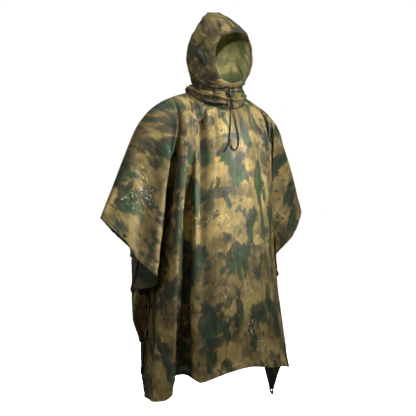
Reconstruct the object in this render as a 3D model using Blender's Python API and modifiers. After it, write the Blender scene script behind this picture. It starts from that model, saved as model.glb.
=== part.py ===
"""Rain poncho, worn: two camouflage panels joined along the shoulders, a two-half hood on a gathered
neck band, a drawcord with its cord lock, snaps down the side edges and a grommet in each corner.

Metres, +Z up, front towards -Y, +X to the wearer's left. The origin is at the middle of the neck, level
with the top of the shoulders, where the wearer holds the garment up.

The cloth is flat when cut. Each panel is described by the lines that run from the shoulder ridge or the
neck seam down to its edge. A row of FOLDS is one such line: where it starts and ends on the flat cloth,
and where its lower end hangs. Between the rows the hanging edge is a smooth curve.
"""
import math

import bmesh
import bpy
import numpy as np
from mathutils import Matrix, Vector
from mathutils.bvhtree import BVHTree
from mathutils.geometry import delaunay_2d_cdt

# ---------------------------------------------------------------- named sizes
HALF_WIDTH = 0.75        # the cloth is 1.50 m across
FRONT_LENGTH = 1.10      # shoulder line to front hem, on the flat cloth
BACK_LENGTH = 1.15       # shoulder line to back hem
NECK_HALF = 0.118        # neck opening, half width
NECK_FRONT = 0.130       # its depth into the front panel
NECK_BACK = 0.085        # its depth into the back panel
WALL = 0.0012            # cloth wall
SEAM_SHIFT = 0.0010      # half the distance between wall middles at a seam
BOW_AT = 0.15            # share of a line's length where the chest or shoulder pushes it out most
SNAP_EDGE = 0.016        # snap centres in from the side edge
SNAP_AT = (0.12, 0.32, 0.52, 0.72, 0.92)   # down the side edge from the shoulder line
GROMMET_EDGE = 0.020     # grommet centres in from both edges of a corner
HOLE_R, HOLE_SIDES = 0.0056, 10            # the cloth's hole under a grommet
SNAP_FLAT, SNAP_FADE = 0.018, 0.055        # the cloth lies flat this near a snap, and is free this far from it
SNAP_CLOSED = (0.52, 0.72)                 # these two on each side are fastened
SNAP_GAP = 0.0062                          # cloth middle to cloth middle through a fastened snap
ROW_STEP = 0.078                           # mesh rows along a line
POINT_GAP = 0.0125                         # no two mesh points inside the cloth are closer than this
CORD_D = 0.0040
HOOD_TURN = math.radians(4)
HOOD_COLS = 13

# The shoulder ridge of each side: distance along the flat cloth, then its place.
RIDGE_COLUMNS = "u out y z"
RIDGE = {
    -1: [(0.110, 0.112, 0.020, 0.012), (0.160, 0.163, 0.021, -0.001), (0.225, 0.224, 0.022, -0.024),
         (0.275, 0.268, 0.024, -0.050), (0.310, 0.294, 0.026, -0.073), (0.350, 0.318, 0.028, -0.108),
         (0.480, 0.372, 0.036, -0.226), (0.620, 0.428, 0.044, -0.350), (0.750, 0.480, 0.050, -0.466)],
    1: [(0.110, 0.112, 0.020, 0.016), (0.160, 0.163, 0.021, -0.004), (0.225, 0.222, 0.022, -0.036),
        (0.275, 0.262, 0.024, -0.066), (0.310, 0.283, 0.026, -0.095), (0.350, 0.301, 0.028, -0.132),
        (0.480, 0.362, 0.036, -0.240), (0.620, 0.420, 0.044, -0.365), (0.750, 0.470, 0.050, -0.472)],
}

# A line of the cloth: flat start u0 on the ridge, flat end (ue, ve), the place of its end (out, y, z),
# how far it bows out over the chest, back or arm (bow_y, bow_out), and how round the fold is there.
FOLD_COLUMNS = "name u0 ue ve out y z bow_y bow_out round"
FOLDS = {
    ("front", -1): [
        ("centre", 0.000, 0.000, 1.10, 0.000, -0.236, -1.028, -0.030, 0.000, 0.030),
        ("front", 0.085, 0.110, 1.10, 0.105, -0.216, -1.050, -0.045, 0.000, 0.030),
        ("lip", 0.140, 0.215, 1.10, 0.186, -0.180, -1.084, -0.085, 0.000, 0.018),
        ("vale", 0.149, 0.305, 1.10, 0.193, -0.090, -1.060, -0.095, 0.000, 0.016),
        ("valley", 0.158, 0.345, 1.10, 0.233, -0.068, -1.066, -0.102, 0.000, 0.010),
        ("ridge", 0.172, 0.462, 1.10, 0.298, -0.174, -1.108, -0.112, 0.000, 0.006),
        ("fore", 0.178, 0.498, 1.10, 0.320, -0.148, -1.135, -0.109, 0.000, 0.010),
        ("strip", 0.184, 0.560, 1.10, 0.332, -0.080, -1.152, -0.106, 0.000, 0.016),
        ("corner", 0.196, 0.750, 1.10, 0.269, 0.090, -1.170, -0.098, 0.000, 0.016),
        ("low", 0.199, 0.750, 0.94, 0.287, 0.090, -1.100, -0.097, 0.000, 0.020),
        ("snap_4", 0.203, 0.750, 0.72, 0.296, 0.073, -0.958, -0.096, 0.000, 0.020),
        ("hip", 0.206, 0.750, 0.625, 0.345, 0.046, -0.866, -0.096, 0.000, 0.012),
        ("snap_3", 0.209, 0.750, 0.52, 0.356, 0.038, -0.745, -0.096, 0.000, 0.016),
        ("inner", 0.213, 0.750, 0.40, 0.304, -0.052, -0.722, -0.098, 0.000, 0.012),
        ("cuff", 0.219, 0.750, 0.31, 0.335, -0.121, -0.676, -0.100, 0.000, 0.007),
        ("cuff_low", 0.260, 0.750, 0.20, 0.372, -0.021, -0.612, -0.080, 0.003, 0.012),
        ("cuff_mid", 0.330, 0.750, 0.15, 0.405, -0.035, -0.560, -0.040, 0.010, 0.020),
        ("tip", 0.750, 0.750, 0.00, 0.480, 0.050, -0.466, 0.000, 0.000, 0.004),
    ],
    ("front", 1): [
        ("centre", 0.000, 0.000, 1.10, 0.000, -0.236, -1.028, -0.030, 0.000, 0.030),
        ("front", 0.085, 0.120, 1.10, 0.115, -0.222, -1.040, -0.045, 0.000, 0.030),
        ("roll", 0.130, 0.260, 1.10, 0.235, -0.160, -1.068, -0.075, 0.000, 0.030),
        ("dip", 0.150, 0.330, 1.10, 0.270, -0.100, -1.085, -0.082, 0.000, 0.020),
        ("fold", 0.172, 0.430, 1.10, 0.338, -0.036, -1.112, -0.090, 0.000, 0.012),
        ("behind", 0.186, 0.560, 1.10, 0.337, 0.020, -1.114, -0.088, 0.000, 0.020),
        ("corner", 0.200, 0.750, 1.10, 0.335, 0.081, -1.248, -0.086, 0.000, 0.010),
        ("low", 0.203, 0.750, 0.98, 0.319, 0.088, -1.135, -0.086, 0.000, 0.012),
        ("snap_4", 0.207, 0.750, 0.72, 0.332, 0.064, -0.930, -0.085, 0.000, 0.020),
        ("snap_3", 0.213, 0.750, 0.52, 0.333, 0.040, -0.735, -0.085, 0.000, 0.016),
        ("inner", 0.218, 0.750, 0.40, 0.314, 0.016, -0.690, -0.085, 0.000, 0.016),
        ("cuff", 0.224, 0.750, 0.30, 0.290, -0.006, -0.640, -0.084, 0.000, 0.016),
        ("cuff_mid", 0.330, 0.750, 0.15, 0.362, -0.030, -0.566, -0.038, 0.010, 0.020),
        ("tip", 0.750, 0.750, 0.00, 0.470, 0.050, -0.472, 0.000, 0.000, 0.004),
    ],
    ("back", -1): [
        ("centre", 0.000, 0.000, 1.15, 0.000, 0.220, -1.085, 0.045, 0.000, 0.030),
        ("vale_3", 0.060, 0.100, 1.15, 0.055, 0.165, -1.090, 0.050, 0.000, 0.025),
        ("roll_3", 0.100, 0.200, 1.15, 0.090, 0.236, -1.100, 0.062, 0.000, 0.025),
        ("vale_2", 0.125, 0.310, 1.15, 0.130, 0.140, -1.105, 0.066, 0.000, 0.025),
        ("roll_2", 0.150, 0.420, 1.15, 0.164, 0.214, -1.115, 0.070, 0.000, 0.022),
        ("vale_1", 0.170, 0.530, 1.15, 0.190, 0.128, -1.120, 0.070, 0.000, 0.022),
        ("roll_1", 0.186, 0.640, 1.15, 0.222, 0.172, -1.135, 0.070, 0.000, 0.020),
        ("corner", 0.196, 0.750, 1.15, 0.250, 0.120, -1.162, 0.068, 0.000, 0.020),
        ("low", 0.199, 0.750, 0.95, 0.282, 0.104, -1.100, 0.066, 0.000, 0.020),
        ("snap_4", 0.203, 0.750, 0.72, 0.294, 0.087, -0.958, 0.064, 0.000, 0.020),
        ("hip", 0.206, 0.750, 0.625, 0.341, 0.061, -0.866, 0.063, 0.000, 0.012),
        ("snap_3", 0.209, 0.750, 0.52, 0.351, 0.052, -0.745, 0.062, 0.000, 0.016),
        ("inner", 0.213, 0.750, 0.40, 0.326, 0.094, -0.672, 0.062, 0.000, 0.016),
        ("cuff", 0.219, 0.750, 0.26, 0.326, 0.108, -0.590, 0.062, 0.000, 0.014),
        ("cuff_mid", 0.330, 0.750, 0.13, 0.405, 0.085, -0.530, 0.030, 0.008, 0.020),
        ("tip", 0.750, 0.750, 0.00, 0.480, 0.050, -0.466, 0.000, 0.000, 0.004),
    ],
    ("back", 1): [
        ("centre", 0.000, 0.000, 1.15, 0.000, 0.220, -1.085, 0.045, 0.000, 0.030),
        ("vale_3", 0.060, 0.110, 1.15, 0.075, 0.168, -1.085, 0.050, 0.000, 0.025),
        ("roll_3", 0.100, 0.220, 1.15, 0.120, 0.240, -1.095, 0.065, 0.000, 0.025),
        ("vale_2", 0.127, 0.330, 1.15, 0.180, 0.155, -1.100, 0.066, 0.000, 0.025),
        ("roll_2", 0.152, 0.440, 1.15, 0.235, 0.220, -1.110, 0.070, 0.000, 0.022),
        ("vale_1", 0.172, 0.550, 1.15, 0.268, 0.140, -1.120, 0.070, 0.000, 0.022),
        ("roll_1", 0.186, 0.615, 1.15, 0.325, 0.186, -1.128, 0.070, 0.000, 0.022),
        ("turn", 0.192, 0.660, 1.15, 0.360, 0.150, -1.140, 0.069, 0.000, 0.012),
        ("corner", 0.200, 0.750, 1.15, 0.343, 0.106, -1.236, 0.068, 0.000, 0.012),
        ("snap_4", 0.207, 0.750, 0.72, 0.326, 0.080, -0.930, 0.064, 0.000, 0.020),
        ("snap_3", 0.213, 0.750, 0.52, 0.329, 0.055, -0.735, 0.062, 0.000, 0.016),
        ("inner", 0.218, 0.750, 0.40, 0.308, 0.094, -0.680, 0.062, 0.000, 0.016),
        ("cuff", 0.224, 0.750, 0.26, 0.326, 0.112, -0.595, 0.062, 0.000, 0.016),
        ("cuff_mid", 0.330, 0.750, 0.13, 0.395, 0.082, -0.535, 0.030, 0.008, 0.020),
        ("tip", 0.750, 0.750, 0.00, 0.470, 0.050, -0.472, 0.000, 0.000, 0.004),
    ],
}

# Hood sections, before its turn: height, half width, front, back and the half width of the face opening there.
HOOD_COLUMNS = "z half front back open"
HOOD = [
    (0.028, 0.090, -0.096, 0.088, 0.000), (0.037, 0.090, -0.105, 0.091, 0.000), (0.046, 0.089, -0.108, 0.092, 0.034),
    (0.066, 0.090, -0.110, 0.094, 0.060), (0.095, 0.098, -0.110, 0.099, 0.078), (0.142, 0.104, -0.110, 0.106, 0.088),
    (0.190, 0.101, -0.112, 0.102, 0.079), (0.218, 0.094, -0.117, 0.095, 0.060), (0.236, 0.088, -0.123, 0.090, 0.036),
    (0.245, 0.083, -0.127, 0.087, 0.000), (0.272, 0.067, -0.116, 0.079, 0.000), (0.298, 0.046, -0.088, 0.071, 0.000),
    (0.318, 0.026, -0.056, 0.063, 0.000), (0.334, 0.002, -0.020, 0.056, 0.000),
]

# Neck band rings, from the neck seam up to the hood: share of the way up and how far the gathers push it out.
BAND_COLUMNS = "up push"
BAND = [(0.00, 0.000), (0.22, 0.007), (0.50, 0.011), (0.78, 0.008), (1.00, 0.000)]


# ---------------------------------------------------------------- the form of the cloth
def monotone(q, xs, ys):
    """Cubic through the rows that never overshoots them."""
    xs, ys = np.asarray(xs, float), np.asarray(ys, float)
    h = np.diff(xs)
    d = np.diff(ys) / h
    m = np.zeros_like(ys)
    with np.errstate(divide="ignore", invalid="ignore"):
        m[1:-1] = np.where(d[1:] * d[:-1] > 0, 2 * d[1:] * d[:-1] / (d[1:] + d[:-1]), 0)
    m[0], m[-1] = d[0], d[-1]
    q = np.clip(q, xs[0], xs[-1])
    k = np.clip(np.searchsorted(xs, q, "right") - 1, 0, len(h) - 1)
    s = (q - xs[k]) / h[k]
    return ((2 * s**3 - 3 * s**2 + 1) * ys[k] + (s**3 - 2 * s**2 + s) * h[k] * m[k]
            + (-2 * s**3 + 3 * s**2) * ys[k + 1] + (s**3 - s**2) * h[k] * m[k + 1])


def neck_depth(face, u):
    """Depth of the neck opening's edge on the flat cloth."""
    k = NECK_FRONT if face == "front" else NECK_BACK
    return k * np.sqrt(np.clip(1 - (np.abs(u) / NECK_HALF) ** 2, 0, 1))


def neck_seam(face, u):
    """Place of the neck seam over its flat u."""
    a = np.arccos(np.clip(np.abs(u) / NECK_HALF, 0, 1))
    x = np.sign(u) * NECK_HALF * np.cos(a)
    if face == "front":
        y, z = 0.020 - 0.128 * np.sin(a), 0.012 - 0.070 * np.sin(a) ** 1.3
    else:
        y, z = 0.020 + 0.083 * np.sin(a), 0.012 + 0.020 * np.sin(a)
    return np.stack([x, y, z + 0.06 * x], -1)


def ridge(side, u):
    rows = np.array(RIDGE[side])
    x, y, z = (monotone(u, rows[:, 0], rows[:, k]) for k in (1, 2, 3))
    return np.stack([side * x, y, z], -1)


def cloth_lines(face, samples=900):
    """All lines of a panel, over s: the distance round its edge from the middle of the hem, positive to the wearer's left."""
    length = FRONT_LENGTH if face == "front" else BACK_LENGTH
    s_rows, rows = [], []
    for side in (-1, 1):
        for name, u0, ue, ve, out, y, z, bow_y, bow_out, rnd in FOLDS[face, side]:
            if name == "centre" and side == 1:
                continue
            s_rows.append(side * (ue if ve >= length else HALF_WIDTH + length - ve))
            rows.append((side * u0, side * out, y, z, bow_y, side * bow_out, rnd))
    order = np.argsort(s_rows)
    s_rows, rows = np.array(s_rows)[order], np.array(rows)[order]
    s = np.linspace(s_rows[0], s_rows[-1], 2 * samples + 1)
    step = s[1] - s[0]
    u0, bow_y, bow_x, rnd = (np.interp(s, s_rows, rows[:, k]) for k in (0, 4, 5, 6))
    end = np.stack([np.interp(s, s_rows, rows[:, k]) for k in (1, 2, 3)], 1)
    pad = 90
    ext = np.concatenate([2 * end[0] - end[pad:0:-1], end, 2 * end[-1] - end[-2:-pad - 2:-1]])
    rounded = np.empty_like(end)
    for i, w in enumerate(np.maximum(rnd, step * 0.6)):
        j = np.arange(max(0, i + pad - int(3 * w / step) - 1), min(len(ext), i + pad + int(3 * w / step) + 2))
        g = np.exp(-0.5 * ((j - i - pad) * step / w) ** 2)
        rounded[i] = (ext[j] * g[:, None]).sum(0) / g.sum()
    rounded[0], rounded[-1] = end[0], end[-1]
    a = np.abs(s)
    ue, ve = np.sign(s) * np.minimum(a, HALF_WIDTH), np.minimum(length, length + HALF_WIDTH - a)
    inside = np.abs(u0) < NECK_HALF
    v0 = np.where(inside, neck_depth(face, u0), 0.0)
    far = np.maximum(np.abs(u0), NECK_HALF)
    top = np.where(inside[:, None], neck_seam(face, u0), np.where((s < 0)[:, None], ridge(-1, far), ridge(1, far)))
    shift = -SEAM_SHIFT if face == "front" else SEAM_SHIFT
    top[:, 1] += np.where(inside, 0, shift)
    rounded[:, 1] += shift * np.clip((a - (HALF_WIDTH + length - 0.1)) / 0.1, 0, 1)
    return dict(face=face, s=s, u0=u0, v0=v0, ue=ue, ve=ve, top=top, end=rounded, bow_x=bow_x, bow_y=bow_y)


def on_line(lines, s, t):
    """Place of the cloth on line s, at share t of the way down it."""
    s, t = np.asarray(s, float), np.clip(np.asarray(t, float), 0, 1)
    g = lambda a: np.interp(s, lines["s"], a)
    b = (t / BOW_AT) * np.exp(1 - t / BOW_AT) - t * (1 / BOW_AT) * math.exp(1 - 1 / BOW_AT)
    p = [g(lines["top"][:, k]) * (1 - t) + g(lines["end"][:, k]) * t for k in range(3)]
    p[0] = p[0] + b * g(lines["bow_x"])
    p[1] = p[1] + b * g(lines["bow_y"])
    return np.stack(p, -1)


def flat_of(lines, s, t):
    g = lambda a: np.interp(s, lines["s"], lines[a])
    return np.stack([g("u0") + (g("ue") - g("u0")) * t, g("v0") + (g("ve") - g("v0")) * t], -1)


def on_cloth(lines, u, v):
    """Place of one flat point."""
    ok = (lines["v0"] <= v + 1e-9) & (lines["ve"] >= v - 1e-9) & (np.sign(lines["s"]) == (1 if u > 0 else -1))
    t = (v - lines["v0"][ok]) / np.maximum(lines["ve"][ok] - lines["v0"][ok], 1e-6)
    line = lines["u0"][ok] + (lines["ue"][ok] - lines["u0"][ok]) * t
    order = np.argsort(line, kind="stable")
    s = np.interp(u, line[order], lines["s"][ok][order])
    return on_line(lines, s, np.interp(s, lines["s"][ok], t))


def frame_at(lines, u, v, h=0.018):
    """Place, outward normal, +u and +v and how much the folds gather each of them, at a flat point near the edge."""
    p = on_cloth(lines, u, v)
    side = math.copysign(1, u)
    du = (p - on_cloth(lines, u - side * h, v)) * side
    dv = on_cloth(lines, u, v + h) - on_cloth(lines, u, v - h)
    gather = np.clip([np.linalg.norm(du) / h, np.linalg.norm(dv) / (2 * h)], 0.68, 1.0)
    du, dv = du / np.linalg.norm(du), dv / np.linalg.norm(dv)
    n = np.cross(dv, du) if lines["face"] == "front" else np.cross(du, dv)
    n /= np.linalg.norm(n)
    dv = np.cross(du, n) if lines["face"] == "front" else np.cross(n, du)
    return p, n, du, dv, gather


PATCHES = {}      # (face, side, v): flat point, place, outward normal, +u and +v there


def find_patches(face, lines):
    """Where the cloth lies flat under metal. A fastened snap takes the back's place and slope from the front."""
    length = FRONT_LENGTH if face == "front" else BACK_LENGTH
    for side in (-1, 1):
        for v in SNAP_AT:
            u = side * (HALF_WIDTH - SNAP_EDGE)
            p, n, du, dv, gather = frame_at(lines, u, v)
            if face == "back" and v in SNAP_CLOSED:
                _, _, q, m, du, dv, _ = PATCHES["front", side, v]
                p, n = q - m * SNAP_GAP, -m
            PATCHES[face, side, v] = (u, v, p, n, du, dv, gather)
        u, v = side * (HALF_WIDTH - GROMMET_EDGE), length - GROMMET_EDGE
        PATCHES[face, side, v] = (u, v, *frame_at(lines, u, v))


def settle(face, f, p):
    """Draw a point of the cloth on to the flat ground round a snap or grommet."""
    for key, (u, v, c, n, du, dv, gather) in PATCHES.items():
        d = math.hypot(f[0] - u, f[1] - v)
        if key[0] == face and d < SNAP_FADE:
            w = min(1.0, (SNAP_FADE - d) / (SNAP_FADE - SNAP_FLAT))
            w = w * w * (3 - 2 * w)
            p = p * (1 - w) + (c + du * gather[0] * (f[0] - u) + dv * gather[1] * (f[1] - v)) * w
    return p


# ---------------------------------------------------------------- scene
for ob in list(bpy.data.objects):
    bpy.data.objects.remove(ob, do_unlink=True)
parts = bpy.data.collections.new("rain_poncho")
cutters = bpy.data.collections.new("cutters")
for c in (parts, cutters):
    bpy.context.scene.collection.children.link(c)
root = bpy.data.objects.new("rain_poncho_origin", None)
parts.objects.link(root)

COLOURS = {
    "front_cloth": ((0.16, 0.13, 0.07), 0.55, 0.0), "back_cloth": ((0.14, 0.12, 0.065), 0.55, 0.0),
    "hood_cloth": ((0.12, 0.11, 0.06), 0.55, 0.0), "band_cloth": ((0.06, 0.07, 0.055), 0.6, 0.0),
    "casing_cloth": ((0.09, 0.085, 0.05), 0.6, 0.0), "cord": ((0.012, 0.012, 0.012), 0.7, 0.0),
    "plastic": ((0.015, 0.015, 0.016), 0.4, 0.0), "brass_black": ((0.09, 0.08, 0.06), 0.35, 0.9),
}


def material(name, kind):
    colour, rough, metal = COLOURS[kind]
    m = bpy.data.materials.new(name + "_finish")
    m.use_nodes = True
    b = m.node_tree.nodes["Principled BSDF"]
    b.inputs["Base Color"].default_value = (*colour, 1)
    b.inputs["Roughness"].default_value = rough
    b.inputs["Metallic"].default_value = metal
    return m


def add(name, mesh, kind, coll=parts):
    ob = bpy.data.objects.new(name, mesh)
    coll.objects.link(ob)
    if coll is parts:
        ob.parent = root
        mesh.materials.append(material(name, kind))
    return ob


def mesh_of(name, verts, faces):
    """A mesh from a loft's rows, its faces made to agree."""
    me = bpy.data.meshes.new(name)
    me.from_pydata([tuple(map(float, p)) for p in verts], [], faces)
    me.validate()
    return me


def wall(ob, thickness=WALL):
    mod = ob.modifiers.new("wall", "SOLIDIFY")
    mod.thickness = thickness
    mod.offset = 0
    mod.use_even_offset = False


def stand(centre, axis):
    """The matrix that puts a turned piece's +Z along an axis."""
    q = Vector(axis).normalized().to_track_quat("Z", "Y")
    return Matrix.Translation(Vector([float(c) for c in centre])) @ q.to_matrix().to_4x4()


def turned(name, profile, closed, kind, centre, axis, steps=16):
    """A profile in (radius, height), top to bottom down its outer side, spun about Z."""
    n = len(profile)
    edges = [(i, i + 1) for i in range(n - 1)] + ([(n - 1, 0)] if closed else [])
    me = bpy.data.meshes.new(name)
    me.from_pydata([(r, 0, h) for r, h in profile], edges, [])
    ob = add(name, me, kind)
    mod = ob.modifiers.new("turn", "SCREW")
    mod.angle = 2 * math.pi
    mod.steps = mod.render_steps = steps
    mod.use_merge_vertices = True
    mod.merge_threshold = 0.00002
    mod.use_normal_calculate = False
    ob.matrix_world = stand(centre, axis)
    return ob


# ---------------------------------------------------------------- panels
def panel(face):
    lines = cloth_lines(face)
    find_patches(face, lines)
    length = FRONT_LENGTH if face == "front" else BACK_LENGTH
    flats = [(u, v, 0.0118 if v > 1 else 0.0085, gather)
             for (f, _, _), (u, v, _, _, _, _, gather) in PATCHES.items() if f == face]
    # columns: each fold line, the lines between them and the lines of the neck opening
    marks = {}
    for side in (-1, 1):
        rows = FOLDS[face, side]
        s_of = [side * (r[2] if r[3] >= length else HALF_WIDTH + length - r[3]) for r in rows]
        for i, s in enumerate(s_of):
            marks[round(s, 5)] = 0
            if i:
                between = 3 if rows[i][0] == "snap_4" else 2
                for k in range(1, between):
                    marks.setdefault(round(s_of[i - 1] + (s - s_of[i - 1]) * k / between, 5), 2)
    for u in (-NECK_HALF, -0.1, -0.06, -0.02, 0.02, 0.06, 0.1, NECK_HALF):
        s = float(np.interp(u, lines["u0"], lines["s"]))
        if min(abs(s - m) for m in marks) > 0.02:
            marks[round(s, 5)] = 1
    last = max(marks)
    for u, v, r, g in flats:
        side = math.copysign(1, u)
        for k in (-0.024, 0.024):
            if v + k < length - 0.01:
                marks.setdefault(round(side * (HALF_WIDTH + length - v - k), 5), 3)
        if v > 1:
            marks.setdefault(round(u - side * 0.024, 5), 3)
    flat, pts = [], []

    def put(f, p):
        flat.append((float(f[0]), float(f[1])))
        pts.append(settle(face, f, p))
        return len(flat) - 1

    tops, ends, edges = [], [], []
    for s in sorted(marks):
        f = flat_of(lines, s, 0.0)
        if abs(s) < last - 1e-6 and marks[s] < 3 and (not tops or marks[s] < 2
                                     or np.linalg.norm(f - np.array(flat[tops[-1]])) > POINT_GAP):
            tops.append(put(f, on_line(lines, s, 0.0)))
    for s in sorted(marks, reverse=True):
        ends.append(put(flat_of(lines, s, 1.0), on_line(lines, s, 1.0)))
    outline = tops + ends
    for u, v, r, g in flats:
        if r < 0.0115:
            put((u, v), on_cloth(lines, u, v))
        for k in range(6):
            c, s_ = r * math.cos(math.pi * (k + 0.5) / 3), r * math.sin(math.pi * (k + 0.5) / 3)
            put((u + c / g[0], v + s_ / g[1]), on_cloth(lines, u, v))
        side = math.copysign(1, u)
        ring = ((-0.027, 0), (-0.018, -0.027), (-0.018, 0.027)) if r < 0.0115 else ((-0.028, 0), (0, -0.028), (-0.026, -0.026))
        for c, s_ in ring:
            f = (u + side * c, v + s_)
            put(f, on_cloth(lines, *f))
    holes = []
    for u, v, r, g in flats:
        if r > 0.0115:
            first = len(flat)
            for k in range(HOLE_SIDES):
                c, s_ = HOLE_R * math.cos(2 * math.pi * k / HOLE_SIDES), HOLE_R * math.sin(2 * math.pi * k / HOLE_SIDES)
                put((u + c / g[0], v + s_ / g[1]), on_cloth(lines, u, v))
                edges.append((first + k, first + (k + 1) % HOLE_SIDES))
            holes.append((u, v, g))
    for s in sorted((m for m in marks if marks[m] < 3), key=lambda m: (marks[m], m)):
        a, b = flat_of(lines, s, 0.0), flat_of(lines, s, 1.0)
        n = max(1, round(float(np.linalg.norm(b - a)) / ROW_STEP))
        line = []
        for j in range(1, n):
            f = flat_of(lines, s, j / n)
            gap = POINT_GAP if marks[s] == 0 else 1.8 * POINT_GAP
            if all(math.hypot((f[0] - u) * g[0], (f[1] - v) * g[1]) > 1.45 * r for u, v, r, g in flats) and \
                    np.min(np.hypot(*(np.array(flat) - f).T)) > gap:
                line.append(put(f, on_line(lines, s, j / n)))
            else:
                line.append(None)
        if marks[s] == 0:
            edges += [(i, j) for i, j in zip(line, line[1:]) if i is not None and j is not None
                      and all(seg_near(flat[i], flat[j], (u, v)) > 1.5 * r for u, v, r, g in flats)]
    if sum(flat[a][0] * flat[b][1] - flat[b][0] * flat[a][1]
           for a, b in zip(outline, outline[1:] + outline[:1])) < 0:
        outline.reverse()
    co, _, tris, source, _, _ = delaunay_2d_cdt([Vector(f) for f in flat], edges, [outline], 1, 1e-6)
    verts = [pts[src[0]] if src else settle(face, c, on_cloth(lines, c[0], c[1])) for c, src in zip(co, source)]
    middle = [sum((co[i] for i in t), Vector((0, 0))) / 3 for t in tris]
    tris = [t for t, m in zip(tris, middle)
            if all(math.hypot((m[0] - u) * g[0], (m[1] - v) * g[1]) > 0.9 * HOLE_R for u, v, g in holes)
            and abs((co[t[1]] - co[t[0]]).cross(co[t[2]] - co[t[0]])) > 1e-8]
    faces = [tuple(t) if face == "back" else tuple(reversed(t)) for t in tris]
    ob = add(face + "_panel", mesh_of(face + "_panel", verts, faces), face + "_cloth")
    wall(ob)
    return ob, lines


def seg_near(a, b, p):
    a, b, p = np.array(a), np.array(b), np.array(p)
    t = np.clip((p - a) @ (b - a) / max((b - a) @ (b - a), 1e-12), 0, 1)
    return float(np.linalg.norm(a + (b - a) * t - p))


front, front_lines = panel("front")
back, back_lines = panel("back")


# ---------------------------------------------------------------- hood and neck band
def turn_hood(p, z_low=0.055, z_high=0.12):
    """The hood faces a little to the wearer's left and its crown slopes forward; its foot stays square on the neck."""
    p = np.asarray(p, float)
    k = np.clip((p[..., 2] - z_low) / (z_high - z_low), 0, 1) * HOOD_TURN
    c, s = np.cos(k), np.sin(k)
    crown = 0.14 * np.clip((p[..., 2] - 0.20) / 0.134, 0, 1) * np.clip(0.056 - p[..., 1], 0, 0.2)
    return np.stack([p[..., 0] * c - p[..., 1] * s, p[..., 0] * s + p[..., 1] * c, p[..., 2] - crown], -1)


def hood_row(z, half, front_y, back_y, open_w, columns):
    """Half a hood section, from the face opening or the middle of the front round to the back seam."""
    half, open_w = max(half, 0.0011), max(open_w, 0.0009)
    row = []
    side_y = 0.35 * back_y + 0.1 * front_y
    for q in np.linspace(0, 1, columns):
        a = q * math.pi                                   # 0 in front, pi behind
        if q <= 0.5:
            k = math.sin(a) ** 0.8
            x = open_w + (half - open_w) * k
            y = front_y + (side_y - front_y) * (1 - math.cos(a)) ** 1.05
        else:
            k = math.sin(a) ** 0.85
            x = max(half * k, 0.0009)
            y = side_y + (back_y - side_y) * (-math.cos(a))
        row.append((x, y, z))
    return row


def hood_foot(columns):
    """The hood's lower edge, where it meets the neck band: lower in front."""
    row = []
    for q in np.linspace(0, 1, columns):
        a = q * math.pi
        x = max(0.092 * math.sin(a), 0.0009)
        y = -0.004 - 0.088 * math.cos(a)
        row.append((x, y, 0.012 + 0.036 * (1 - math.cos(a)) / 2))
    return row


def hood_rows(columns=HOOD_COLS):
    """Half the hood as rows of points, before its turn. The low rows lean back like the foot."""
    foot = hood_foot(columns)
    rows = [foot]
    for r in HOOD[1:]:
        lean = min(max(1 - (r[0] - 0.028) / 0.07, 0), 1)
        rows.append([(x, y, z + (f[2] - foot[0][2]) * lean) for (x, y, z), f in zip(hood_row(*r, columns), foot)])
    return np.array(rows)


def hood_half(side, columns=HOOD_COLS):
    rows = hood_rows(columns)
    verts = turn_hood(rows.reshape(-1, 3) * (side, 1, 1))
    faces = []
    for r in range(len(rows) - 1):
        for c in range(columns - 1):
            q = (r * columns + c, r * columns + c + 1, (r + 1) * columns + c + 1, (r + 1) * columns + c)
            faces.append(q if side > 0 else tuple(reversed(q)))
    name = "hood_left" if side > 0 else "hood_right"
    ob = add(name, mesh_of(name, verts, faces), "hood_cloth")
    wall(ob)
    return ob


hood_halves = {side: hood_half(side) for side in (-1, 1)}


def band_ring(up, push, segments):
    ring = []
    for k in range(segments):
        a = 2 * math.pi * k / segments                    # 0 at the wearer's left, going to the back
        c, s = math.cos(a), math.sin(a)
        low = neck_seam("back" if s >= 0 else "front", np.array(NECK_HALF * c))
        low = low + np.array([-0.0016 * c, -0.0016 * s, 0.0022])
        high = np.array([0.092 * c, -0.004 + 0.088 * s, 0.012 + 0.036 * (1 + s) / 2 - 0.0027])
        out = np.array([c, s, 0.0])
        run, rise = (high - low) @ out, high[2] - low[2]
        n = (out * rise - np.array([0, 0, 1.0]) * run) / math.hypot(run, rise)
        ring.append(low * (1 - up) + high * up + n * push)
    return ring


def neck_band(segments=2 * (HOOD_COLS - 1)):
    rings = [band_ring(up, push, segments) for up, push in BAND]
    verts = [p for ring in rings for p in ring]
    faces = []
    for r in range(len(rings) - 1):
        for k in range(segments):
            j = (k + 1) % segments
            faces.append((r * segments + k, r * segments + j, (r + 1) * segments + j, (r + 1) * segments + k))
    ob = add("neck_band", mesh_of("neck_band", verts, faces), "band_cloth")
    wall(ob, 0.0014)
    return ob


neck_band()


RIM_HALF, RIM_HIGH, RIM_MID = 0.088, 0.1000, 0.1430
CASING_LIFT = 0.0054


def hood_place(run, z):
    """The place on the hood, before its turn, at a distance run round from the middle of the front, at height z."""
    rows = HOOD_ROWS
    front_z = rows[:, 0, 2]
    k = min(max(int(np.searchsorted(front_z, z)) - 1, 0), len(rows) - 2)
    f = (z - front_z[k]) / (front_z[k + 1] - front_z[k])
    line = rows[k] * (1 - f) + rows[k + 1] * f
    arc = line[0, 0] + np.concatenate([[0], np.cumsum(np.linalg.norm(np.diff(line, axis=0), axis=1))])
    return np.array([np.interp(abs(run), arc, line[:, c]) for c in range(3)])


def on_hood(run, z, lift, h=0.010):
    side = math.copysign(1, run)
    run = abs(run)
    p = hood_place(run, z)
    n = np.cross(hood_place(run + h, z) - hood_place(max(run - h, 0.001), z), hood_place(run, z + h) - hood_place(run, z - h))
    p = p + n / np.linalg.norm(n) * lift
    return turn_hood(p * (side, 1, 1))


HOOD_ROWS = hood_rows()


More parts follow.
